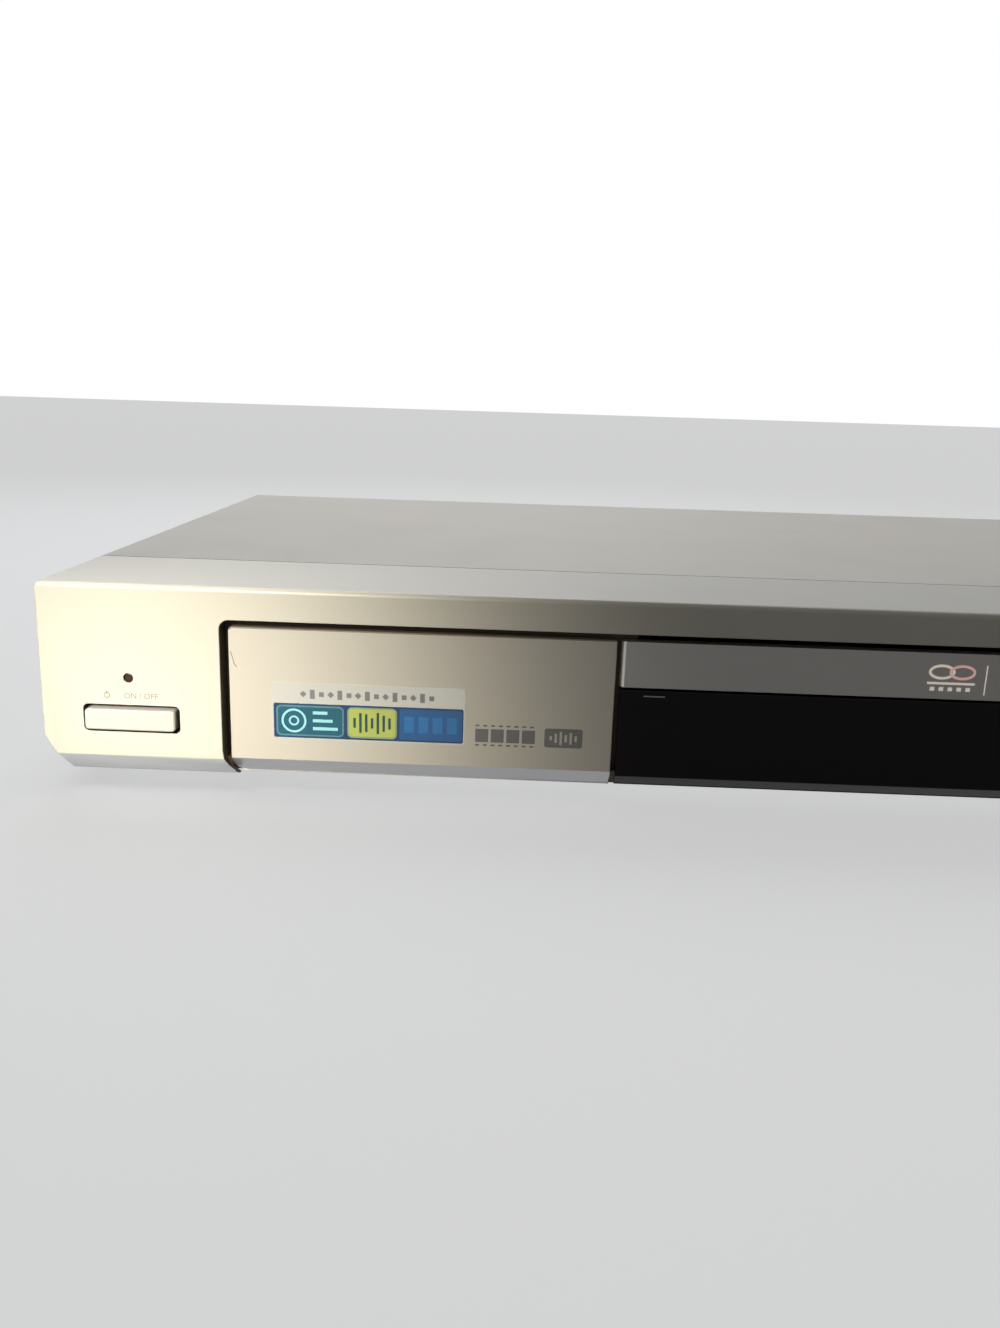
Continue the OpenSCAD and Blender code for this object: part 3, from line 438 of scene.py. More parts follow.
# Boards and what is on them
CHIP = Plastic("chip_resin", (0.016, 0.016, 0.017), (0.028, 0.028, 0.028), 0, 0.55, 2400, 10, 0.3, 0.1)
SLEEVE = Plastic("can_sleeve", (0.02, 0.022, 0.04), (0.03, 0.033, 0.05), 0, 0.28, 900, 4, 0.2, 0.1, 0.3)
TAPE = Plastic("core_tape", (0.52, 0.42, 0.05), (0.42, 0.34, 0.05), 0, 0.35, 400, 20, 0.3)
SWITCH = Plastic("switch_body", (0.35, 0.36, 0.37), (0.28, 0.29, 0.3), 0.2, 0.42, 1500, wear=0.1)
RIBBON = Plastic("ribbon_film", (0.70, 0.71, 0.68), (0.6, 0.61, 0.6), 0, 0.35, 600, 4, wear=0.1)
TUBE = Plastic("tube_glass", (0.02, 0.04, 0.045), (0.035, 0.06, 0.06), 0, 0.1, 700, 2, 0.3, 0.1, 0.6)
FUSE = Plastic("fuse_glass", (0.62, 0.64, 0.62), (0.52, 0.54, 0.52), 0.3, 0.2, 700, 4, coat=0.4)
FERRITE = Finish("ferrite", (0.035, 0.034, 0.036), (0.055, 0.054, 0.056), 0.3, 0.5, 1800, 20, 0.4, 0.1)
SINK = Finish("sink_aluminium", (0.62, 0.63, 0.64), (0.52, 0.53, 0.54), 1, 0.35, 700, 6)
TIN = Finish("tinned_legs", (0.66, 0.66, 0.65), (0.55, 0.55, 0.54), 1, 0.3, 1500, 3, wear=0.1)
GREEN, BROWN = ((0.022, 0.10, 0.042), (0.035, 0.15, 0.06)), ((0.30, 0.17, 0.07), (0.38, 0.23, 0.11))
MASK = BoardFinish("green_mask", *GREEN, 0, 0.3, 160, 20, 0.3, 0.15, 0.3, 90)
LAMINATE = BoardFinish("brown_laminate", *BROWN, 0, 0.5, 240, 20, 0.4, 0.15, 0, 70, track=(0.17, 0.085, 0.03))

# Studio
FLOOR = Finish("pale_floor", (0.76, 0.79, 0.83), (0.74, 0.77, 0.81), 0, 0.7, 60, 100, wear=0)

# The nodes that keep their shape
NODE_FINISH: dict[Finish, tuple[str, ...]] = {
    ZINC: ("bottom_chassis",),
    REAR: ("rear_panel",),
    RUBBER: ("deck_dampers", "loading_belt"),
    SCREW: ("inner_screws", "damper_screws"),
    LOADER: ("loader_frame", "deck_holder"),
    MOTOR: ("loading_motor", "spindle_motor", "sled_motor"),
    ACETAL: ("motor_pulley", "pulley_gear", "drive_gear", "cam_slider"),
    BRIDGE: ("clamp_bridge",),
    MAGNET: ("clamper_magnet",),
    CASTING: ("traverse_base",),
    ROD: ("guide_rods", "lead_screw"),
    HUB: ("turntable", "clamper_pad", "clamper_cap"),
    PICKUP: ("pickup_sled", "lens_holder"),
    LENS: ("objective_lens",),
    MASK: ("main_board", "display_board"),
    LAMINATE: ("power_board", "power_key_board", "control_key_board"),
    TUBE: ("display_tube",),
    RIBBON: ("ribbon_cable",),
}


# ---------------------------------------------------------------- bench

SAME_POINT = 0.002
FLAT = 0.6


class Bench:
    """Blender's operators, used on one piece at a time."""

    @staticmethod
    def take(*pieces: Piece) -> None:
        """Leaves only these pieces selected, with the last one active.

        Args:
            pieces: The pieces.
        """
        bpy.ops.object.select_all(action="DESELECT")
        for piece in pieces:
            piece.select_set(True)
        bpy.context.view_layer.objects.active = pieces[-1]

    @classmethod
    def open(cls, piece: Piece, mode: str = "EDGE", action: str = "DESELECT") -> None:
        """Opens a piece for editing.

        Args:
            piece: The piece to edit.
            mode: What is selected: VERT, EDGE or FACE.
            action: Whether all of it is selected, or nothing.
        """
        cls.take(piece)
        bpy.ops.object.mode_set(mode="EDIT")
        bpy.ops.mesh.select_mode(type=mode)
        bpy.ops.mesh.select_all(action=action)

    @staticmethod
    def close() -> None:
        """Goes back from editing."""
        bpy.ops.object.mode_set(mode="OBJECT")

    @classmethod
    def merge(cls, piece: Piece) -> None:
        """Merges the doubled points of a piece and joins its flat faces.

        Args:
            piece: The piece.
        """
        cls.open(piece, action="SELECT")
        bpy.ops.mesh.remove_doubles(threshold=SAME_POINT * MM)
        bpy.ops.mesh.dissolve_limited(angle_limit=math.radians(FLAT))
        cls.close()

    @classmethod
    def copy(cls, node: str) -> Piece:
        """Copies a node as one merged mesh.

        Args:
            node: The node to copy.

        Returns:
            The copy.
        """
        piece = bpy.data.objects.new(f"{node}_shape", frame["nodes"][node].data.copy())
        bpy.context.scene.collection.objects.link(piece)
        cls.merge(piece)
        return piece

    @staticmethod
    def pick_edges(piece: Piece, test: EdgeTest) -> None:
        """Selects edges of the open piece.

        Args:
            piece: The piece being edited.
            test: Whether an edge is taken, from its middle, its direction and its crease in degrees.
        """
        mesh = bmesh.from_edit_mesh(piece.data)
        for edge in mesh.edges:
            start, end = (vert.co / MM for vert in edge.verts)
            crease = math.degrees(edge.calc_face_angle(0.0))
            edge.select_set(bool(test((start + end) / 2, (end - start).normalized(), crease)))
        bmesh.update_edit_mesh(piece.data)

    @staticmethod
    def pick_faces(piece: Piece, test: FaceTest) -> None:
        """Selects faces of the open piece.

        Args:
            piece: The piece being edited.
            test: Whether a face is taken, from its middle and its normal.
        """
        mesh = bmesh.from_edit_mesh(piece.data)
        for face in mesh.faces:
            face.select_set(bool(test(face.calc_center_median() / MM, face.normal)))
        bmesh.update_edit_mesh(piece.data)

    @classmethod
    def round_edges(cls, piece: Piece, radius: float, test: EdgeTest, segments: int = 3) -> None:
        """Rounds the edges that pass a test.

        Args:
            piece: The piece.
            radius: The rounding.
            test: Which edges, as in pick_edges.
            segments: How many faces make the rounding.
        """
        cls.open(piece)
        cls.pick_edges(piece, test)
        bpy.ops.mesh.bevel(offset=radius * MM, segments=segments, affect="EDGES", clamp_overlap=True)
        cls.close()

    @classmethod
    def soften(cls, piece: Piece, width: float, segments: int = 2, angle: float = 50.0) -> None:
        """Takes the sharpness off every creased edge of a piece.

        Args:
            piece: The piece.
            width: The width of the softened edge.
            segments: How many faces make it.
            angle: The least crease in degrees.
        """
        edge = piece.modifiers.new("edge", "BEVEL")
        edge.width = width * MM
        edge.segments = segments
        edge.limit_method = "ANGLE"
        edge.angle_limit = math.radians(angle)
        edge.use_clamp_overlap = False
        cls.apply(piece)

    @classmethod
    def trim(cls, piece: Piece, block: Piece) -> None:
        """Keeps only what of a piece lies inside a block, and removes the block.

        Args:
            piece: The piece.
            block: The block.
        """
        cut = piece.modifiers.new("cut", "BOOLEAN")
        cut.operation = "INTERSECT"
        cut.solver = "EXACT"
        cut.object = block
        cls.apply(piece)
        bpy.data.objects.remove(block)
        cls.merge(piece)

    @classmethod
    def apply(cls, piece: Piece) -> None:
        """Applies every modifier of a piece.

        Args:
            piece: The piece.
        """
        cls.take(piece)
        for modifier in list(piece.modifiers):
            bpy.ops.object.modifier_apply(modifier=modifier.name)

    @classmethod
    def place(cls, piece: Piece) -> None:
        """Applies a piece's place, turn and scale to its mesh."""
        cls.take(piece)
        bpy.ops.object.transform_apply(location=True, rotation=True, scale=True)

    @classmethod
    def bar_of(cls, profile: Sequence[Pair], left: float, right: float) -> Piece:
        """Extrudes a side outline across.

        Args:
            profile: Its points along Y and Z.
            left: Where it starts, along X.
            right: Where it ends.

        Returns:
            The bar.
        """
        bpy.ops.mesh.primitive_circle_add(vertices=len(profile), radius=MM, fill_type="NGON")
        bar = bpy.context.object
        for vert, (y, z) in zip(bar.data.vertices, profile):
            vert.co = (left * MM, y * MM, z * MM)
        cls.open(bar, "VERT", "SELECT")
        bpy.ops.mesh.extrude_region_move(TRANSFORM_OT_translate={"value": ((right - left) * MM, 0.0, 0.0)})
        bpy.ops.mesh.select_all(action="SELECT")
        bpy.ops.mesh.normals_make_consistent(inside=False)
        cls.close()
        return bar

    @classmethod
    def join(cls, pieces: Sequence[Piece], name: str) -> Piece:
        """Joins pieces into one.

        Args:
            pieces: What is joined.
            name: The name of the result.

        Returns:
            The joined piece.
        """
        for piece in pieces:
            cls.place(piece)
        cls.take(*pieces)
        if len(pieces) > 1:
            bpy.ops.object.join()
        joined = bpy.context.view_layer.objects.active
        joined.name = name
        return joined

    @staticmethod
    def coat(piece: Piece, first: Finish, *others: tuple[Finish, FaceTest]) -> None:
        """Finishes a piece.

        Args:
            piece: The piece.
            first: The finish all over.
            others: Further finishes, each with a test of a face's middle and normal.
        """
        piece.data.materials.clear()
        piece.data.materials.append(first.material())
        for face in piece.data.polygons:
            face.material_index = 0
        for index, (finish, test) in enumerate(others, start=1):
            piece.data.materials.append(finish.material())
            for face in piece.data.polygons:
                if test(face.center / MM, face.normal):
                    face.material_index = index

    @staticmethod
    def settle(piece: Piece, slot: str, *nodes: str, body: str = "") -> Piece:
        """Puts a finished piece on its body.

        Args:
            piece: The piece.
            slot: The record's material slot; not used.
            nodes: The nodes that it stands for.
            body: Its body, where no node gives it.

        Returns:
            The piece.
        """
        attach(piece, body or BODY_OF[nodes[0]])
        if nodes:
            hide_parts(*nodes)
        LOG.info("built %s", piece.name)
        return piece

    @classmethod
    def dress(
        cls,
        piece: Piece,
        slot: str,
        node: str,
        finish: Finish,
        *others: tuple[Finish, FaceTest],
        angle: float = 32.0,
    ) -> None:
        """Shades a piece smooth up to a crease, finishes it and puts it in a node's place.

        Args:
            piece: The piece.
            slot: The record's material slot.
            node: The node.
            finish: The finish all over.
            others: Further finishes, as in coat.
            angle: The crease in degrees that stays sharp.
        """
        cls.take(piece)
        bpy.ops.object.shade_smooth_by_angle(angle=math.radians(angle))
        even = piece.modifiers.new("even", "WEIGHTED_NORMAL")
        even.keep_sharp = True
        cls.apply(piece)
        cls.coat(piece, finish, *others)
        cls.settle(piece, slot, node)

    @classmethod
    def softened(cls, node: str, width: float, segments: int = 2, angle: float = 50.0) -> Piece:
        """Copies a node and softens the copy's edges.

        Args:
            node: The node to copy.
            width: The width of the softened edge.
            segments: How many faces make it.
            angle: The least crease in degrees.

        Returns:
            The softened copy.
        """
        piece = cls.copy(node)
        cls.soften(piece, width, segments, angle)
        return piece


class Glyph(Enum):
    """Symbols of the controls."""

    PLAY = "play"
    STOP = "stop"
    BACK = "back"
    FORWARD = "forward"
    EJECT = "eject"
    STANDBY = "standby"


@dataclass
class Print:
    """Flat ink or film on a face that looks towards the front.

    Attributes:
        name: The piece's name.
        plane: Where the face is, along Y.
        lift: How thick the print is.
        slot: The record's material slot.
        body: The body that it is on.
        shapes: The flat shapes so far.
    """

    name: str
    plane: float
    lift: float = 0.03
    slot: str = "insert_plastic"
    body: str = "cabinet"
    shapes: list[Piece] = field(default_factory=list)

    def _keep(self, scale: Point = (1.0, 1.0, 1.0), turn: float = 0.0) -> Piece:
        """Keeps the new flat shape.

        Args:
            scale: How far it is stretched.
            turn: Its turn in the face, in degrees.

        Returns:
            The shape.
        """
        shape = bpy.context.object
        shape.scale = scale
        shape.rotation_euler = (math.pi / 2, math.radians(turn), 0.0)
        Bench.place(shape)
        self.shapes.append(shape)
        return shape

    def _at(self, x: float, z: float) -> Point:
        """Gives a point of the face, in metres."""
        return (x * MM, self.plane * MM, z * MM)

    def bar(self, x: Pair, z: Pair, turn: float = 0.0) -> Piece:
        """Adds a rectangle from its left and right, its bottom and top and its turn in degrees."""
        bpy.ops.mesh.primitive_plane_add(size=1.0, location=self._at(sum(x) / 2, sum(z) / 2))
        return self._keep(((x[1] - x[0]) * MM, (z[1] - z[0]) * MM, 1.0), turn)

    def row(self, left: float, pitch: float, width: float, spans: Sequence[Pair]) -> None:
        """Adds rectangles in a row.

        Args:
            left: The left end of the first.
            pitch: The step from one to the next.
            width: The width of each.
            spans: The bottom and top of each.
        """
        for step, span in enumerate(spans):
            start = left + step * pitch
            self.bar((start, start + width), span)

    def plate(self, x: Pair, z: Pair, radius: float) -> None:
        """Adds a rectangle with round corners.

        Args:
            x: Its left and right.
            z: Its bottom and top.
            radius: The radius of its corners.
        """
        Bench.open(self.bar(x, z), "VERT", "SELECT")
        bpy.ops.mesh.bevel(offset=radius * MM, segments=4, affect="VERTICES")
        Bench.close()

    def disc(
        self, x: float, z: float, radius: float, sides: int = 32, turn: float = 0.0, wide: float = 1.0
    ) -> Piece:
        """Adds a filled circle or a regular polygon.

        Args:
            x: Its centre across.
            z: Its centre up.
            radius: Its radius.
            sides: How many sides it has.
            turn: Its turn in degrees.
            wide: How much wider than tall it is.

        Returns:
            The shape.
        """
        bpy.ops.mesh.primitive_circle_add(
            vertices=sides, radius=radius * MM, fill_type="NGON", location=self._at(x, z)
        )
        return self._keep((wide, 1.0, 1.0), turn)

    def ring(self, x: float, z: float, radius: float, width: float, wide: float = 1.0) -> None:
        """Adds a ring.

        Args:
            x: Its centre across.
            z: Its centre up.
            radius: Its outer radius.
            width: The width of its line.
            wide: How much wider than tall it is.
        """
        Bench.open(self.disc(x, z, radius, 36, wide=wide), "FACE", "SELECT")
        bpy.ops.mesh.inset(thickness=width * MM)
        bpy.ops.mesh.delete(type="FACE")
        Bench.close()

    def words(self, text: str, x: float, z: float, size: float) -> None:
        """Adds plain words, centred.

        Args:
            text: What they say.
            x: Their middle across.
            z: Their foot.
            size: Their size.
        """
        bpy.ops.object.text_add(location=self._at(x, z))
        line = bpy.context.object
        line.data.body = text
        line.data.size = size * MM
        line.data.align_x = "CENTER"
        line.data.resolution_u = 4
        bpy.ops.object.convert(target="MESH")
        self._keep()

    def glyph(self, kind: Glyph, x: float, z: float, half: float) -> None:
        """Adds a control symbol.

        Args:
            kind: Which symbol.
            x: Its centre across.
            z: Its centre up.
            half: Half its height.
        """
        if kind is Glyph.PLAY:
            self.disc(x - half * 0.2, z, half, 3, 90.0)
        elif kind is Glyph.STOP:
            self.bar((x - half * 0.8, x + half * 0.8), (z - half * 0.8, z + half * 0.8))
        elif kind is Glyph.EJECT:
            self.disc(x, z + half * 0.1, half * 0.95, 3)
            self.bar((x - half * 0.85, x + half * 0.85), (z - half, z - half * 0.65))
        elif kind is Glyph.STANDBY:
            self.ring(x, z, half, half * 0.28)
            self.bar((x - half * 0.14, x + half * 0.14), (z + half * 0.1, z + half * 1.3))
        else:
            way = -1.0 if kind is Glyph.BACK else 1.0
            for step in (-0.7, 0.6):
                self.disc(x + way * step * half, z, half * 0.8, 3, 90.0 * way)
            edge = x + way * half * 1.5
            self.bar((edge - half * 0.14, edge + half * 0.14), (z - half * 0.7, z + half * 0.7))

    def finish(self, finish: Finish) -> Piece:
        """Makes the print one thin solid.

        Args:
            finish: Its finish.

        Returns:
            The print.
        """
        piece = Bench.join(self.shapes, self.name)
        skin = piece.modifiers.new("skin", "SOLIDIFY")
        skin.thickness = self.lift * MM
        skin.offset = 1.0
        Bench.apply(piece)
        Bench.coat(piece, finish)
        return Bench.settle(piece, self.slot, body=self.body)


# ---------------------------------------------------------------- cabinet


@dataclass
class CaseForm:
    """Outer form that the front panel and the cover share.

    Attributes:
        half: Half its width.
        face: Where its front is, along Y.
        top: Its height.
        radius: The radius of its two shoulders.
        edge: The radius of its front edges.
        slack: How far it stands outside the faces that it leaves alone.
        back: How far back its block reaches.
        below: How far its block reaches under the floor.
    """

    half: float = 215.0
    face: float = -104.5
    top: float = 50.0
    radius: float = 1.9
    edge: float = 1.2
    slack: float = 0.02
    back: float = 150.0
    below: float = 10.0

    def block(self) -> Piece:
        """Makes the block with round front, top and end edges.

        Returns:
            The block.
        """
        wide, tall, deep = self.half + self.slack, self.top + self.slack, self.face - self.slack
        middle = (0.0, (deep + self.back) / 2 * MM, (tall - self.below) / 2 * MM)
        bpy.ops.mesh.primitive_cube_add(size=1.0, location=middle)
        block = bpy.context.object
        block.scale = (2 * wide * MM, (self.back - deep) * MM, (tall + self.below) * MM)
        Bench.place(block)
        ends = self.half - 0.1
        Bench.round_edges(
            block,
            self.radius,
            lambda at, along, crease: abs(at.x) > ends and at.z > self.top and abs(along.y) > 0.9,
            6,
        )
        Bench.round_edges(block, self.edge, lambda at, along, crease: at.y < self.face and at.z > -5.0, 4)
        return block


@dataclass
class Front:
    """Front panel, inserts and window.

    Attributes:
        face: Where the panel's face is, along Y.
        insert: Where the inserts' faces are, along Y.
        opening: Half the width of the opening.
        opening_top: The top of the opening.
        window: Half the width of the window.
        button: Centre of the standby button.
        grooves: Each groove's left and right at the lower bevel, its front end and its lower end.
        groove_foot: The back and the top of the grooves' lower ends.
        rim: The radius of the inserts' rims.
    """

    face: float = -104.5
    insert: float = -103.0
    opening: float = 173.0
    opening_top: float = 42.4
    window: float = 83.0
    button: Pair = (-193.95, 18.3)
    grooves: tuple[tuple[float, float, float, float], ...] = (
        (-173.0, -171.4, -102.6, 5.1),
        (-171.5, -169.4, -101.2, 5.3),
        (-82.9, -81.6, -102.1, 5.7),
    )
    groove_foot: Pair = (-99.0, 9.2)
    rim: float = 1.1

    def build(self) -> None:
        """Builds the front's pieces."""
        self.panel()
        self.inserts()
        window = Bench.softened("display_window", 0.25, 2, 20.0)
        Bench.dress(window, "window_black", "display_window", WINDOW)
        self.painted_glint_and_scratch()
        self.painted_groove_shadows()

    def panel(self) -> None:
        """Rounds the front panel's edges, paints shade into its groove and onto its holes' walls, paints
        shade on its top and a reflection of the floor on its lower bevel.
        """
        piece = Bench.copy("front_panel")
        Bench.trim(piece, CaseForm().block())
        Bench.soften(piece, 0.25)
        # Painted shade on the panel's top faces.
        top = (SILVER_TOP_SHADE, lambda at, normal: normal.z > 0.8 and at.z > 49.0)
        # Painted shade in the groove and on the holes' walls.
        coats = ((PAINTED_GROOVE_SHADE, self._in_groove), top, (SILVER_BEVEL_REFLECTION, self._on_bevel))
        Bench.dress(piece, "silver_plastic", "front_panel", SILVER, *coats)

    def _in_groove(self, at: Vector, normal: Vector) -> bool:
        """Tells whether a face of the panel is inside the groove or a hole, where shade is painted.

        Args:
            at: The face's middle.
            normal: Its normal.

        Returns:
            Whether it is a wall or the floor of the groove, or a wall of the button's or the lamp's hole.
        """
        behind = at.y - self.face
        if behind < 0.28:
            return False
        groove = abs(at.x) < self.opening + 0.1 and at.z < self.opening_top + 0.1 and behind < 9.0
        hole = abs(at.x - self.button[0]) < 12.2 and abs(at.z - 20.0) < 10.5
        return groove or (hole and abs(normal.y) < 0.5 and behind < 3.0)

    @staticmethod
    def _on_bevel(at: Vector, normal: Vector) -> bool:
        """Tells whether a face lies on the lower bevel, which mirrors the floor and carries a painted
        reflection of it.
        """
        return normal.z < -0.3 and normal.y < -0.3 and at.z < 9.6 and at.y < -98.0

    def _on_rim(self, at: Vector, along: Vector, crease: float) -> bool:
        """Tells whether an edge belongs to the rim of an insert's face."""
        outer = abs(at.x) > self.opening - 3.0 or at.z > self.opening_top - 1.9 or abs(at.x) < self.window
        return crease > 20.0 and abs(at.y - self.insert) < 0.2 and outer

    def inserts(self) -> None:
        """Rounds the rims of the two inserts, paints the overhang's shadow on their upper rims and the
        floor's reflection on their lower bevels.
        """
        # Painted shadow of the panel's overhang on the inserts' upper rims.
        upper = (PAINTED_RIM_SHADOW, lambda at, normal: normal.z > 0.1 and at.z > 39.0 and at.y < -100.0)
        for node in ("left_insert", "right_insert"):
            piece = Bench.copy(node)
            Bench.round_edges(piece, self.rim, self._on_rim, 4)
            Bench.soften(piece, 0.15)
            # The inserts' lower bevels get the painted reflection of the floor.
            Bench.dress(piece, "insert_plastic", node, INSERT, upper, (SILVER_BEVEL_REFLECTION, self._on_bevel))

    def painted_glint_and_scratch(self) -> None:
        """Makes a pale dash on the window, which is a painted highlight, and the scratch at the left groove.
        """
        # Painted highlight: a pale line on the window, in faint ink.
        dash = Print("window_glint", self.insert, slot="window_black")
        dash.bar((-76.2, -71.3), (27.7, 27.98))
        dash.finish(FAINT_INK)
        hair = Print("hair_scratch", self.insert, 0.02)
        hair.bar((-170.55, -170.4), (32.0, 35.0), -14.0)
        hair.bar((-169.95, -169.8), (31.1, 32.3), -38.0)
        hair.finish(HAIR)

    def painted_groove_shadows(self) -> None:
        """Closes the lower ends of the grooves with strips of painted shade that follow the bevels."""
        back, top = self.groove_foot
        strips = []
        for left, right, lead, low in self.grooves:
            profile = ((lead, top), (lead + 1.9, low), (back, low), (back, top))
            strips += [Bench.bar_of(profile, *ends) for ends in ((left, right), (-right, -left))]
        piece = Bench.join(strips, "painted_groove_shadows")
        Bench.coat(piece, PAINTED_GROOVE_SHADE)
        Bench.settle(piece, "insert_plastic", body="cabinet")


@dataclass
class Controls:
    """Buttons, lamp and the symbols over them.

    Attributes:
        keys: Each key's node, centre across and symbol.
        face: Where the panel's face is, along Y.
        button_out: How far the buttons stand out.
        insert: Where the keys' panel is, along Y.
        symbol_z: Height of the symbols over the keys.
        cap: The radius of the caps' edges.
    """

    keys: tuple[tuple[str, float, Glyph], ...] = (
        ("open_close_button", 96.5, Glyph.EJECT),
        ("play_button", 115.5, Glyph.PLAY),
        ("stop_button", 131.5, Glyph.STOP),
        ("skip_back_button", 145.0, Glyph.BACK),
        ("skip_forward_button", 158.5, Glyph.FORWARD),
    )
    face: float = -104.5
    button_out: float = 1.5
    insert: float = -103.0
    symbol_z: float = 25.0
    cap: float = 0.45

    def build(self) -> None:
        """Builds the buttons, the lamp and the symbols."""
        self.button("power_button", self.face - self.button_out)
        for node, _, _ in self.keys:
            self.button(node, self.insert - self.button_out)
        Bench.dress(Bench.softened("standby_lens", 0.25), "lamp_red", "standby_lens", LAMP)
        symbols = Print("key_symbols", self.insert, slot="silver_plastic")
        for _, x, kind in self.keys:
            symbols.glyph(kind, x, self.symbol_z, 1.1)
        symbols.finish(INK)
        label = Print("standby_label", self.face, slot="silver_plastic")
        label.words("ON / OFF", -191.5, 23.2, 1.9)
        label.glyph(Glyph.STANDBY, -199.4, 23.9, 0.75)
        label.finish(FAINT_INK)

    def button(self, node: str, front: float) -> None:
        """Rounds a button's cap.

        Args:
            node: The button's node.
            front: Where its face is, along Y.
        """
        piece = Bench.copy(node)
        Bench.round_edges(
            piece, self.cap, lambda at, along, crease: crease > 60.0 and abs(at.y - front) < 0.2
        )
        Bench.dress(piece, "button_silver", node, BUTTON)


@dataclass
class Marks:
    """Sticker, pictograms and small prints on the front.

    Attributes:
        face: Where the faces of the insert and the door are, along Y.
        sticker: Left and right of the sticker.
        strip: Bottom and top of its coloured strip.
        film: Bottom and top of its clear part.
        film_lift: The thickness of its film.
        layer: The step from one printed layer to the next.
    """

    face: float = -103.0
    sticker: Pair = (-161.5, -116.9)
    strip: Pair = (14.8, 23.1)
    film: Pair = (14.4, 28.0)
    film_lift: float = 0.05
    layer: float = 0.008

    def build(self) -> None:
        """Builds every mark."""
        film = Print("sticker_film", self.face, self.film_lift)
        film.plate(self.sticker, self.film, 0.8)
        film.finish(FILM)
        self.ornaments(self.fields())
        self.words()
        self.pictograms()
        self.door_mark()

    def fields(self) -> float:
        """Makes the sticker's strip and coloured fields, one layer on another.

        Returns:
            Where the uppermost layer is, along Y.
        """
        left, right = self.sticker
        low, high = self.strip
        plane = self.face - self.film_lift
        for name, finish, reach, margin, radius in (
            ("sticker_strip", NAVY, (left + 0.3, right - 0.3), 0.0, 0.5),
            ("sticker_teal_rim", TEAL_RIM, (left + 0.9, left + 16.6), 0.45, 1.1),
            ("sticker_lime_rim", LIME_RIM, (left + 17.4, left + 28.9), 0.45, 1.1),
            ("sticker_blue", BLUE, (left + 29.5, right - 0.6), 0.45, 0.3),
            ("sticker_teal", TEAL, (left + 1.3, left + 16.2), 0.85, 0.8),
            ("sticker_lime", LIME, (left + 17.8, left + 28.5), 0.85, 0.8),
        ):
            area = Print(name, plane)
            area.plate(reach, (low + margin, high - margin), radius)
            area.finish(finish)
            plane -= self.layer
        return plane

    def ornaments(self, plane: float) -> None:
        """Makes plain ornaments on the sticker: rings with bars, upright bars, and blocks.

        Args:
            plane: Where they lie, along Y.
        """
        left = self.sticker[0]
        low, high = self.strip
        middle = (low + high) / 2
        pale = Print("sticker_pale", plane)
        for radius, width in ((2.9, 0.5), (1.2, 0.4)):
            pale.ring(left + 5.0, middle, radius, width)
        for step in range(3):
            z = low + 2.0 + step * 1.9
            pale.bar((left + 9.4, left + 15.2 - step * 1.2), (z, z + 0.75))
        pale.finish(PALE_INK)
        blocks = Print("sticker_frames", plane)
        blocks.row(left + 30.6, 3.3, 2.3, [(low + 2.2, high - 2.2)] * 4)
        blocks.finish(MID_BLUE)
        dark = Print("sticker_dark", plane)
        heights = [1.2 + 1.5 * math.sin(step * 1.1) ** 2 for step in range(7)]
        dark.row(left + 18.8, 1.35, 0.6, [(middle - tall, middle + tall) for tall in heights])
        dark.finish(DEEP_INK)

    def words(self) -> None:
        """Makes a row of diamonds, bars and squares where the sticker would have its words."""
        row = Print("sticker_row", self.face - self.film_lift)
        for step in range(15):
            x = self.sticker[0] + 7.2 + step * 2.12
            if step % 3 == 1:
                row.bar((x - 0.55, x + 0.55), (24.3, 26.5))
            else:
                row.disc(x, 25.4, 0.8, 4, 45.0 if step % 3 else 0.0)
        row.finish(ROW_INK)

    def pictograms(self) -> None:
        """Makes two small grey pictograms: a film strip, and sound waves."""
        marks = Print("pictograms", self.face)
        marks.row(-114.4, 3.6, 3.0, [(15.4, 18.6)] * 4)
        for z in (14.5, 19.2):
            marks.row(-114.4, 1.8, 0.9, [(z, z + 0.4)] * 8)
        marks.plate((-98.4, -89.6), (14.7, 19.3), 0.6)
        marks.finish(INK)
        waves = Print("pictogram_waves", self.face - marks.lift)
        waves.row(-97.2, 1.15, 0.55, [(17.0 - tall, 17.0 + tall) for tall in (0.5, 1.1, 1.6, 0.9, 1.4, 0.7)])
        waves.finish(INSERT)

    def door_mark(self) -> None:
        """Makes the pictogram of two discs and the divider on the tray's door."""
        pale = Print("door_mark", self.face, slot="door_plastic", body="tray")
        pale.ring(-9.6, 36.1, 1.75, 0.6, 1.7)
        pale.bar((-12.7, -2.0), (33.2, 33.75))
        pale.row(-11.9, 2.0, 1.0, [(31.7, 32.6)] * 5)
        pale.bar((0.2, 0.5), (31.0, 37.9))
        pale.finish(CREAM_INK)
        rose = Print("door_mark_right", self.face - pale.lift, slot="door_plastic", body="tray")
        rose.ring(-5.0, 36.1, 1.75, 0.6, 1.7)
        rose.finish(ROSE_INK)


class Case:
    """Cover and feet."""

    def build(self) -> None:
        """Builds the cover and the feet."""
        cover = Bench.copy("top_cover")
        Bench.trim(cover, CaseForm().block())
        Bench.dress(cover, "cover_paint", "top_cover", COVER)
        Bench.dress(Bench.softened("feet", 0.8, 3), "foot_plastic", "feet", FOOT)
        Bench.dress(Bench.softened("foot_pads", 0.2, 3), "rubber_black", "foot_pads", RUBBER)


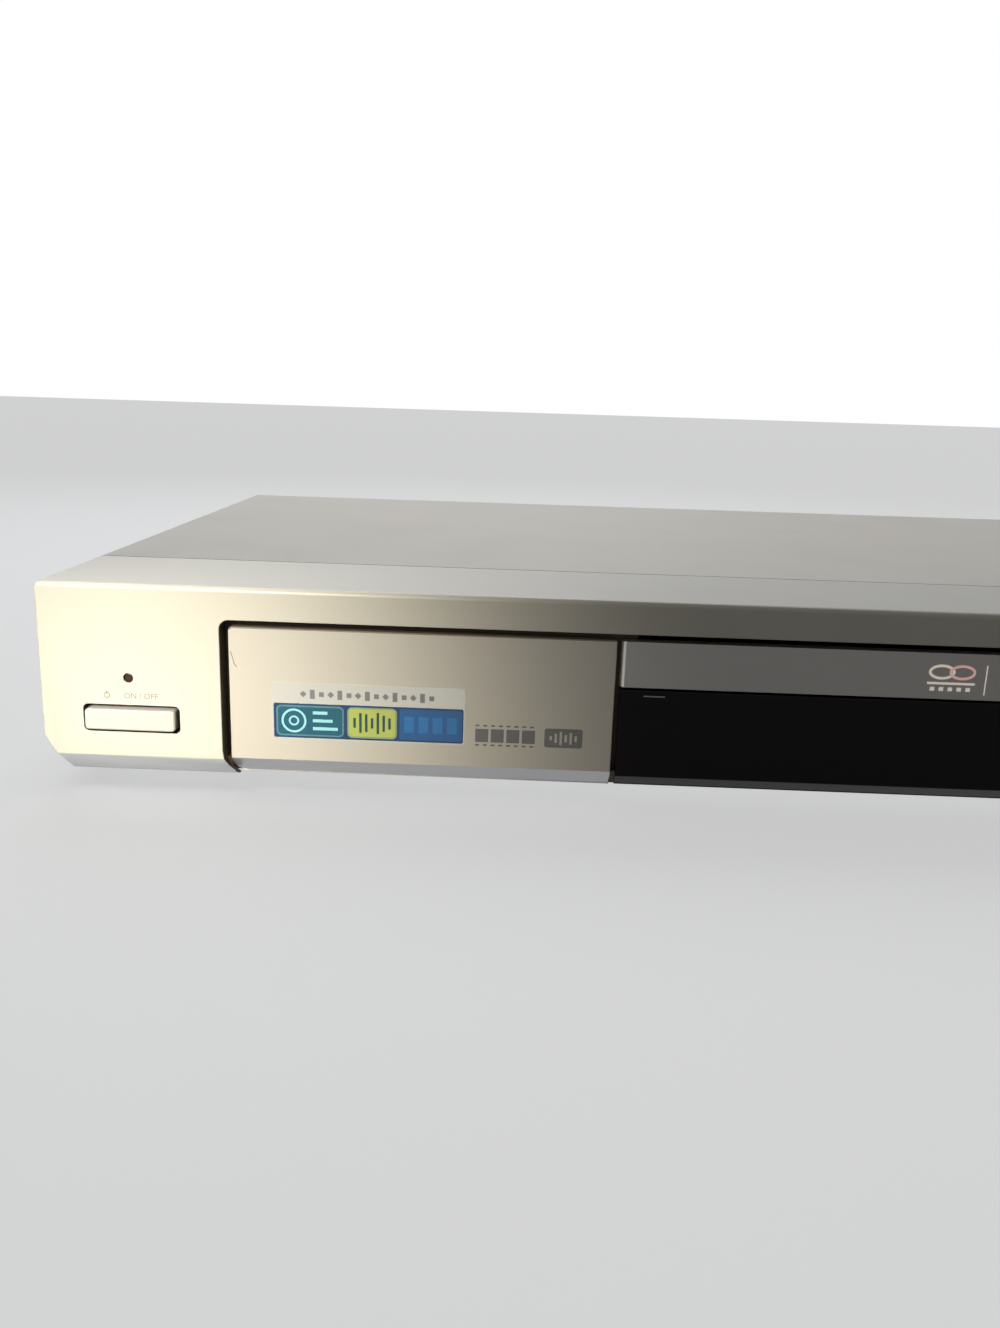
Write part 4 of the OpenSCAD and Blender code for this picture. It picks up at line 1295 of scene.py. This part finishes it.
@dataclass
class Rear:
    """Sockets, screws and prints of the rear panel, and the screws of the sides.

    Attributes:
        panel: Where the panel's outer face is, along Y.
        jacks: Each phono jack's place across and up, with the colour of its core.
        super_video: Centre of the round video socket.
        inlet: Centre of the mains inlet.
        pin: Distance of the mains pins from the inlet's centre.
        groups: Left, right, bottom and top of the printed frames.
        line: The width of their lines.
        screws: Each screw head's place, and its turn about Z in degrees.
        recess: The length, depth and width of a bar of the heads' crossed recesses.
    """

    panel: float = 97.0
    jacks: tuple[tuple[float, float, Finish], ...] = (
        (98.0, 36.0, JACK_GREEN),
        (114.0, 36.0, JACK_BLUE),
        (130.0, 36.0, JACK_RED),
        (98.0, 20.0, JACK_YELLOW),
        (114.0, 20.0, JACK_WHITE),
        (130.0, 20.0, JACK_RED),
        (180.0, 36.0, JACK_ORANGE),
    )
    super_video: Pair = (158.0, 28.0)
    inlet: Pair = (-190.0, 26.0)
    pin: float = 4.3
    groups: tuple[tuple[float, float, float, float], ...] = (
        (91.0, 137.0, 28.4, 43.0),
        (91.0, 137.0, 13.0, 27.6),
        (149.5, 166.5, 19.5, 36.5),
    )
    line: float = 0.35
    screws: tuple[tuple[Point, float], ...] = (
        *(((x, 98.8, 44.0), 0.0) for x in (-150.0, 0.0, 196.0)),
        *(((x, y, 14.0), 90.0) for y in (-40.0, 70.0) for x in (214.985, -214.985)),
    )
    recess: Point = (3.6, 0.05, 0.75)

    def build(self) -> None:
        """Builds the sockets, the screws and the prints."""
        self.sockets()
        inlet = Bench.softened("ac_inlet", 0.5, 2, 60.0)
        Bench.dress(inlet, "socket_black", "ac_inlet", SOCKET, (PLATED, self._on_pin))
        self.video_face()
        screws = Bench.softened("case_screws", 0.45, 3, 60.0)
        Bench.dress(screws, "screw_steel", "case_screws", SCREW)
        self.recesses()
        self.frames()

    def sockets(self) -> None:
        """Finishes the jacks: a plated sleeve, a coloured core and a black housing."""
        places = {core: [(x, z) for x, z, own in self.jacks if own is core] for _, _, core in self.jacks}
        cores = [(core, self._near(spots, 1.4, 3.3, 4.2)) for core, spots in places.items()]
        sleeve = self._near([(x, z) for x, z, _ in self.jacks], 3.3, 4.6, 1.2)
        for node in ("analogue_jacks", "digital_sockets"):
            piece = Bench.softened(node, 0.15, 1, 60.0)
            Bench.dress(piece, "socket_black", node, SOCKET, (PLATED, sleeve), *cores)

    def _near(self, places: Sequence[Pair], inner: float, outer: float, out: float) -> FaceTest:
        """Makes a test for faces of the rings round some jacks.

        Args:
            places: The jacks' centres.
            inner: The ring's inner radius.
            outer: Its outer radius.
            out: How far out of the panel the faces begin.

        Returns:
            The test.
        """

        def test(at: Vector, normal: Vector) -> bool:
            """Tells whether a face is part of such a ring."""
            gaps = [math.hypot(at.x - x, at.z - z) for x, z in places]
            return any(inner < gap < outer for gap in gaps) and at.y > self.panel + out

        return test

    def _on_pin(self, at: Vector, normal: Vector) -> bool:
        """Tells whether a face of the mains inlet is on a pin."""
        across, up = abs(at.x - self.inlet[0]), at.z - self.inlet[1]
        return math.hypot(across - self.pin, up) < 1.45 and at.y > 82.2

    def video_face(self) -> None:
        """Makes the round video socket's plated ring, its four holes and its key."""
        x, z = self.super_video
        plane = -(self.panel + 2.0)
        ring = Print("video_ring", plane, 0.6, "socket_black")
        ring.ring(-x, z, 5.9, 0.7)
        self._turned(ring, PLATED)
        holes = Print("video_holes", plane, 0.05, "socket_black")
        for across, up in ((-2.4, -0.6), (2.4, -0.6), (-1.3, 1.9), (1.3, 1.9)):
            holes.disc(-x + across, z + up, 0.55, 16)
        holes.bar((-x - 1.3, -x + 1.3), (z - 3.4, z - 2.2))
        self._turned(holes, PLATED)

    @staticmethod
    def _turned(flat: Print, finish: Finish) -> None:
        """Finishes a print that was drawn on the front, and turns it to the rear.

        Args:
            flat: The print.
            finish: Its finish.
        """
        piece = flat.finish(finish)
        piece.rotation_euler = (0.0, 0.0, math.pi)
        Bench.place(piece)

    def recesses(self) -> None:
        """Gives the heads of the case screws their crossed recesses."""
        bars = [self._bar(at, lean, turn) for at, turn in self.screws for lean in (35.0, 125.0)]
        cross = Bench.join(bars, "screw_recesses")
        Bench.coat(cross, SOCKET)
        Bench.settle(cross, "screw_steel", body="cabinet")

    def _bar(self, centre: Point, lean: float, turn: float) -> Piece:
        """Makes a bar of a crossed recess, with round ends.

        Args:
            centre: Where it is.
            lean: Its lean in the head, in degrees.
            turn: Its turn about Z, in degrees.

        Returns:
            The bar.
        """
        bpy.ops.mesh.primitive_cube_add(size=1.0, location=[value * MM for value in centre])
        bar = bpy.context.object
        bar.scale = [value * MM for value in self.recess]
        Bench.open(bar)
        Bench.pick_edges(bar, lambda at, along, crease: abs(along.y) > 0.9)
        bpy.ops.mesh.bevel(offset=0.12, segments=2, affect="EDGES")
        Bench.close()
        bar.rotation_euler = (0.0, math.radians(lean), math.radians(turn))
        return bar

    def frames(self) -> None:
        """Makes the thin white frames round the groups of sockets."""
        frames = Print("rear_frames", -self.panel, slot="rear_steel")
        line = self.line
        for left, right, low, high in self.groups:
            frames.bar((-right, -left), (low, low + line))
            frames.bar((-right, -left), (high - line, high))
            frames.bar((-right, -right + line), (low, high))
            frames.bar((-left - line, -left), (low, high))
        self._turned(frames, JACK_WHITE)


@dataclass
class Boards:
    """Parts on the boards: transformer, capacitors, chips, heat sink and fuse.

    Attributes:
        board_top: Height of the boards' upper faces.
        chips: Each chip's left, front and width.
        leg: Side outline of a chip's leg, outwards and up.
        leg_half: Half a leg's width.
        pitch: Distance of the legs.
        fuse_glass: Left and right of the fuse's bare glass.
    """

    board_top: float = 14.6
    chips: tuple[tuple[float, float, float], ...] = (
        (118.0, 0.0, 26.0),
        (150.0, 2.0, 14.0),
        (118.0, 34.0, 14.0),
        (146.0, 30.0, 20.0),
        (176.0, 10.0, 12.0),
        (176.0, 40.0, 10.0),
    )
    leg: tuple[Pair, ...] = (
        (0.0, 0.9), (0.25, 0.9), (0.45, 0.2), (1.1, 0.2), (1.1, 0.0), (0.3, 0.0), (0.1, 0.65), (0.0, 0.65)
    )
    leg_half: float = 0.2
    pitch: float = 1.25
    fuse_glass: Pair = (-180.5, -171.5)

    def build(self) -> None:
        """Builds the parts."""
        self.transformer()
        for node in ("mains_capacitor", "capacitors"):
            self.cans(node)
        self.legs()
        for node, width, finish, slot in (
            ("heat_sink", 0.3, SINK, "sink_aluminium"),
            ("main_chips", 0.25, CHIP, "chip_black"),
            ("key_switches", 0.2, SWITCH, "switch_grey"),
        ):
            Bench.dress(Bench.softened(node, width), slot, node, finish)
        low, high = self.fuse_glass
        ends = (TIN, lambda at, normal: not low < at.x < high or at.z < 17.2)
        Bench.dress(Bench.softened("fuse", 0.2), "fuse_glass", "fuse", FUSE, ends)

    def transformer(self) -> None:
        """Finishes the transformer: a ferrite core round a taped winding."""
        piece = Bench.softened("transformer", 0.6)
        winding = (TAPE, lambda at, normal: at.y < 5.8 or at.y > 34.2)
        tape = (TAPE, lambda at, normal: abs(at.x + 136.0) < 12.5 and at.z > 34.0 and normal.z > 0.9)
        Bench.dress(piece, "core_yellow", "transformer", FERRITE, winding, tape)

    def cans(self, node: str) -> None:
        """Finishes capacitors: a shrunk sleeve with a bare, scored top.

        Args:
            node: The capacitors' node.
        """
        piece = Bench.copy(node)
        Bench.open(piece, "FACE")
        Bench.pick_faces(piece, lambda at, normal: normal.z > 0.95 and at.z > self.board_top + 4.0)
        bpy.ops.mesh.inset(thickness=0.7 * MM, depth=-0.25 * MM, use_individual=True)
        inner = [face.index for face in bmesh.from_edit_mesh(piece.data).faces if face.select]
        Bench.close()
        centres = [piece.data.polygons[index].center / MM for index in inner]
        Bench.soften(piece, 0.25)
        lid = (
            SINK,
            lambda at, normal: normal.z > 0.9 and any((at - centre).length < 0.8 for centre in centres),
        )
        Bench.dress(piece, "can_dark", node, SLEEVE, lid)

    def legs(self) -> None:
        """Makes the chips' legs: one bent leg, copied along the four sides of each chip."""
        leg = Bench.bar_of(self.leg, -self.leg_half, self.leg_half)
        legs = []
        for left, front, wide in self.chips:
            deep = wide * 0.8
            centre = Vector((left + wide / 2, front + deep / 2, self.board_top))
            for turn, reach, run in ((0, deep, wide), (90, wide, deep), (180, deep, wide), (270, wide, deep)):
                count = int((run - 1.6) / self.pitch)
                quarter = Matrix.Rotation(math.radians(turn), 4, "Z")
                for step in range(count):
                    copy = bpy.data.objects.new("leg", leg.data.copy())
                    bpy.context.scene.collection.objects.link(copy)
                    along = (step - (count - 1) / 2) * self.pitch
                    copy.location = (quarter @ Vector((along, reach / 2 - 0.02, 0.0)) + centre) * MM
                    copy.rotation_euler = (0.0, 0.0, math.radians(turn))
                    legs.append(copy)
        bpy.data.objects.remove(leg)
        piece = Bench.join(legs, "chip_legs")
        Bench.coat(piece, TIN)
        Bench.settle(piece, "chip_black", body="cabinet")


@dataclass
class Tray:
    """Disc tray and its door.

    Attributes:
        face: Where the door's face is, along Y.
        corner: The radius of the door's upright edges.
        rim: The radius of its other edges.
        half: Half the width of the door inside its ends, which carry a painted highlight.
    """

    face: float = -103.0
    corner: float = 0.9
    rim: float = 0.35
    half: float = 80.7

    def build(self) -> None:
        """Builds the tray and its door."""
        door = Bench.copy("tray_door")
        Bench.round_edges(door, self.corner, self._on_corner, 3)
        Bench.round_edges(door, self.rim, self._on_rim, 2)
        # Painted highlight on the door's rounded upright ends.
        ends = (DOOR_EDGE_HIGHLIGHT, lambda at, normal: abs(at.x) > self.half and at.y < self.face + 1.2)
        Bench.dress(door, "door_plastic", "tray_door", DOOR, ends, angle=40.0)
        walls = (TRAY_WALL, lambda at, normal: abs(normal.z) < 0.75 and at.z > 26.0)
        Bench.dress(Bench.softened("disc_tray", 0.3), "tray_grey", "disc_tray", TRAY, walls)

    def _on_corner(self, at: Vector, along: Vector, crease: float) -> bool:
        """Tells whether an edge is an upright one of the door's face."""
        return crease > 60.0 and abs(along.z) > 0.9 and at.y < self.face + 0.2

    def _on_rim(self, at: Vector, along: Vector, crease: float) -> bool:
        """Tells whether an edge is a level one of the door's face or of its rounded corners."""
        return crease > 60.0 and abs(along.z) < 0.3 and at.y < self.face + 1.3


# ---------------------------------------------------------------- studio


@dataclass(frozen=True)
class Lamp:
    """A square soft lamp.

    Attributes:
        name: Its name.
        place: Where it hangs.
        aim: What it faces.
        size: Its side.
        power: Its power in watts.
        spread: How wide its light opens, in degrees.
        tint: Its colour.
    """

    name: str
    place: Point
    aim: Point
    size: float
    power: float
    spread: float
    tint: Colour

    def hang(self, *spared: Piece) -> None:
        """Hangs the lamp.

        Args:
            spared: The objects that it leaves unlit.
        """
        data = bpy.data.lights.new(self.name, "AREA")
        data.spread = math.radians(self.spread)
        data.color = self.tint
        data.size = self.size
        data.energy = self.power
        lamp = bpy.data.objects.new(self.name, data)
        bpy.context.scene.collection.objects.link(lamp)
        lamp.location = self.place
        lamp.rotation_euler = (Vector(self.aim) - Vector(self.place)).to_track_quat("-Z", "Y").to_euler()
        lamp.visible_camera = False
        if spared:
            lit = bpy.data.collections.new(f"{self.name}_light")
            lamp.light_linking.receiver_collection = lit
            for index, thing in enumerate(spared):
                lit.objects.link(thing)
                lit.collection_objects[index].light_linking.link_state = "EXCLUDE"


@dataclass
class Studio:
    """Floor, lamps, world and camera.

    Attributes:
        eye: Where the camera stands.
        yaw: Its turn to the right, in radians.
        pitch: Its tilt downwards, in radians.
        roll: Its roll, in radians.
        lens: Its focal length in millimetres.
        key: The lamp that lights the left end of the front.
        top: The lamp over the object.
        floor_side: The floor's side.
        floor_tint: The floor's colour for light that goes on to the object.
        floor_glow: How far the floor that is seen is lifted towards white.
        sky: The surroundings' colour for light that reaches the object.
        sky_strength: How strong that light is.
    """

    eye: Point = (-0.1039, -0.3442, 0.0954)
    yaw: float = -0.0219
    pitch: float = 0.2484
    roll: float = 0.0312
    lens: float = 29.66
    key: Lamp = Lamp(
        "key_lamp", (-0.236, -0.3, 0.13), (-0.19, -0.1, 0.006), 0.1, 0.0905, 38.3, (1.0, 0.965, 0.88)
    )
    top: Lamp = Lamp("top_lamp", (-0.24, 0.46, 0.68), (-0.12, 0.0, 0.0), 0.6, 1.2, 116.0, (1.0, 0.995, 0.98))
    floor_side: float = 8.0
    floor_tint: Colour = (0.2, 0.2, 0.21)
    floor_glow: float = 0.55
    sky: Colour = (0.9, 0.92, 0.95)
    sky_strength: float = 0.08

    def build(self) -> None:
        """Makes all of it."""
        self.camera()
        self.world()
        self.key.hang(self.floor(), bpy.data.objects["top_cover_shape"])
        self.top.hang()

    def camera(self) -> None:
        """Makes the scene's camera."""
        data = bpy.data.cameras.new("camera")
        data.lens = self.lens
        data.clip_start = 0.01
        camera = bpy.data.objects.new("camera", data)
        bpy.context.scene.collection.objects.link(camera)
        stand = Matrix.Translation(Vector(self.eye))
        for angle, axis in ((-self.yaw, "Z"), (math.pi / 2 - self.pitch, "X"), (self.roll, "Z")):
            stand = stand @ Matrix.Rotation(angle, 4, axis)
        camera.matrix_world = stand
        bpy.context.scene.camera = camera

    @staticmethod
    def shown(wiring: Wiring) -> Socket:
        """Tells the rays of the camera, of gloss and of glass from those that light the object.

        Args:
            wiring: Where it is told.

        Returns:
            1 for the first kind and 0 for the others.
        """
        rays = wiring.add("LightPath").outputs
        gloss = wiring.math("MAXIMUM", rays["Is Glossy Ray"], rays["Is Transmission Ray"])
        return wiring.math("MAXIMUM", rays["Is Camera Ray"], gloss)

    def floor(self) -> Piece:
        """Makes the pale floor.

        Returns:
            The floor.
        """
        bpy.ops.mesh.primitive_plane_add(size=self.floor_side)
        floor = bpy.context.object
        floor.name = "floor"
        Bench.coat(floor, FLOOR)
        nodes = FLOOR.material().node_tree.nodes
        wiring = Wiring(FLOOR.material().node_tree)
        shader = nodes["Principled BSDF"]
        pale = shader.inputs["Base Color"].links[0].from_socket
        seen = self.shown(wiring)
        wiring.fill(shader, {"Base Color": wiring.mix(seen, self.floor_tint, pale)})
        glow = wiring.add("Emission").outputs[0]
        lift = wiring.math("MULTIPLY", seen, self.floor_glow)
        blend = wiring.add("MixShader", {0: lift, 1: shader.outputs[0], 2: glow})
        wiring.fill(nodes["Material Output"], {"Surface": blend.outputs[0]})
        return floor

    def world(self) -> None:
        """Makes the pale surroundings, which are white where they are seen."""
        world = bpy.data.worlds.new("surroundings")
        bpy.context.scene.world = world
        world.use_nodes = True
        nodes = world.node_tree.nodes
        wiring = Wiring(world.node_tree)
        wiring.fill(nodes["Background"], {"Color": self.sky, "Strength": self.sky_strength})
        white = wiring.add("Background", {"Color": (1.0, 1.0, 1.0), "Strength": 1.0}).outputs[0]
        blend = wiring.add("MixShader", {0: self.shown(wiring), 1: nodes["Background"].outputs[0], 2: white})
        wiring.fill(nodes["World Output"], {"Surface": blend.outputs[0]})


def main() -> None:
    """Builds every piece and the studio, and finishes the nodes that keep their shape."""
    logging.basicConfig(level=logging.INFO, format="%(message)s")
    bpy.context.scene.view_settings.view_transform = "Standard"
    for assembly in (Front(), Controls(), Marks(), Case(), Rear(), Boards(), Tray(), Studio()):
        assembly.build()
    for finish, names in NODE_FINISH.items():
        for name in names:
            for slot in frame["nodes"][name].material_slots:
                slot.material = finish.material()
            LOG.info("dressed %s in %s", name, finish.name)


if __name__ == "__main__":
    main()
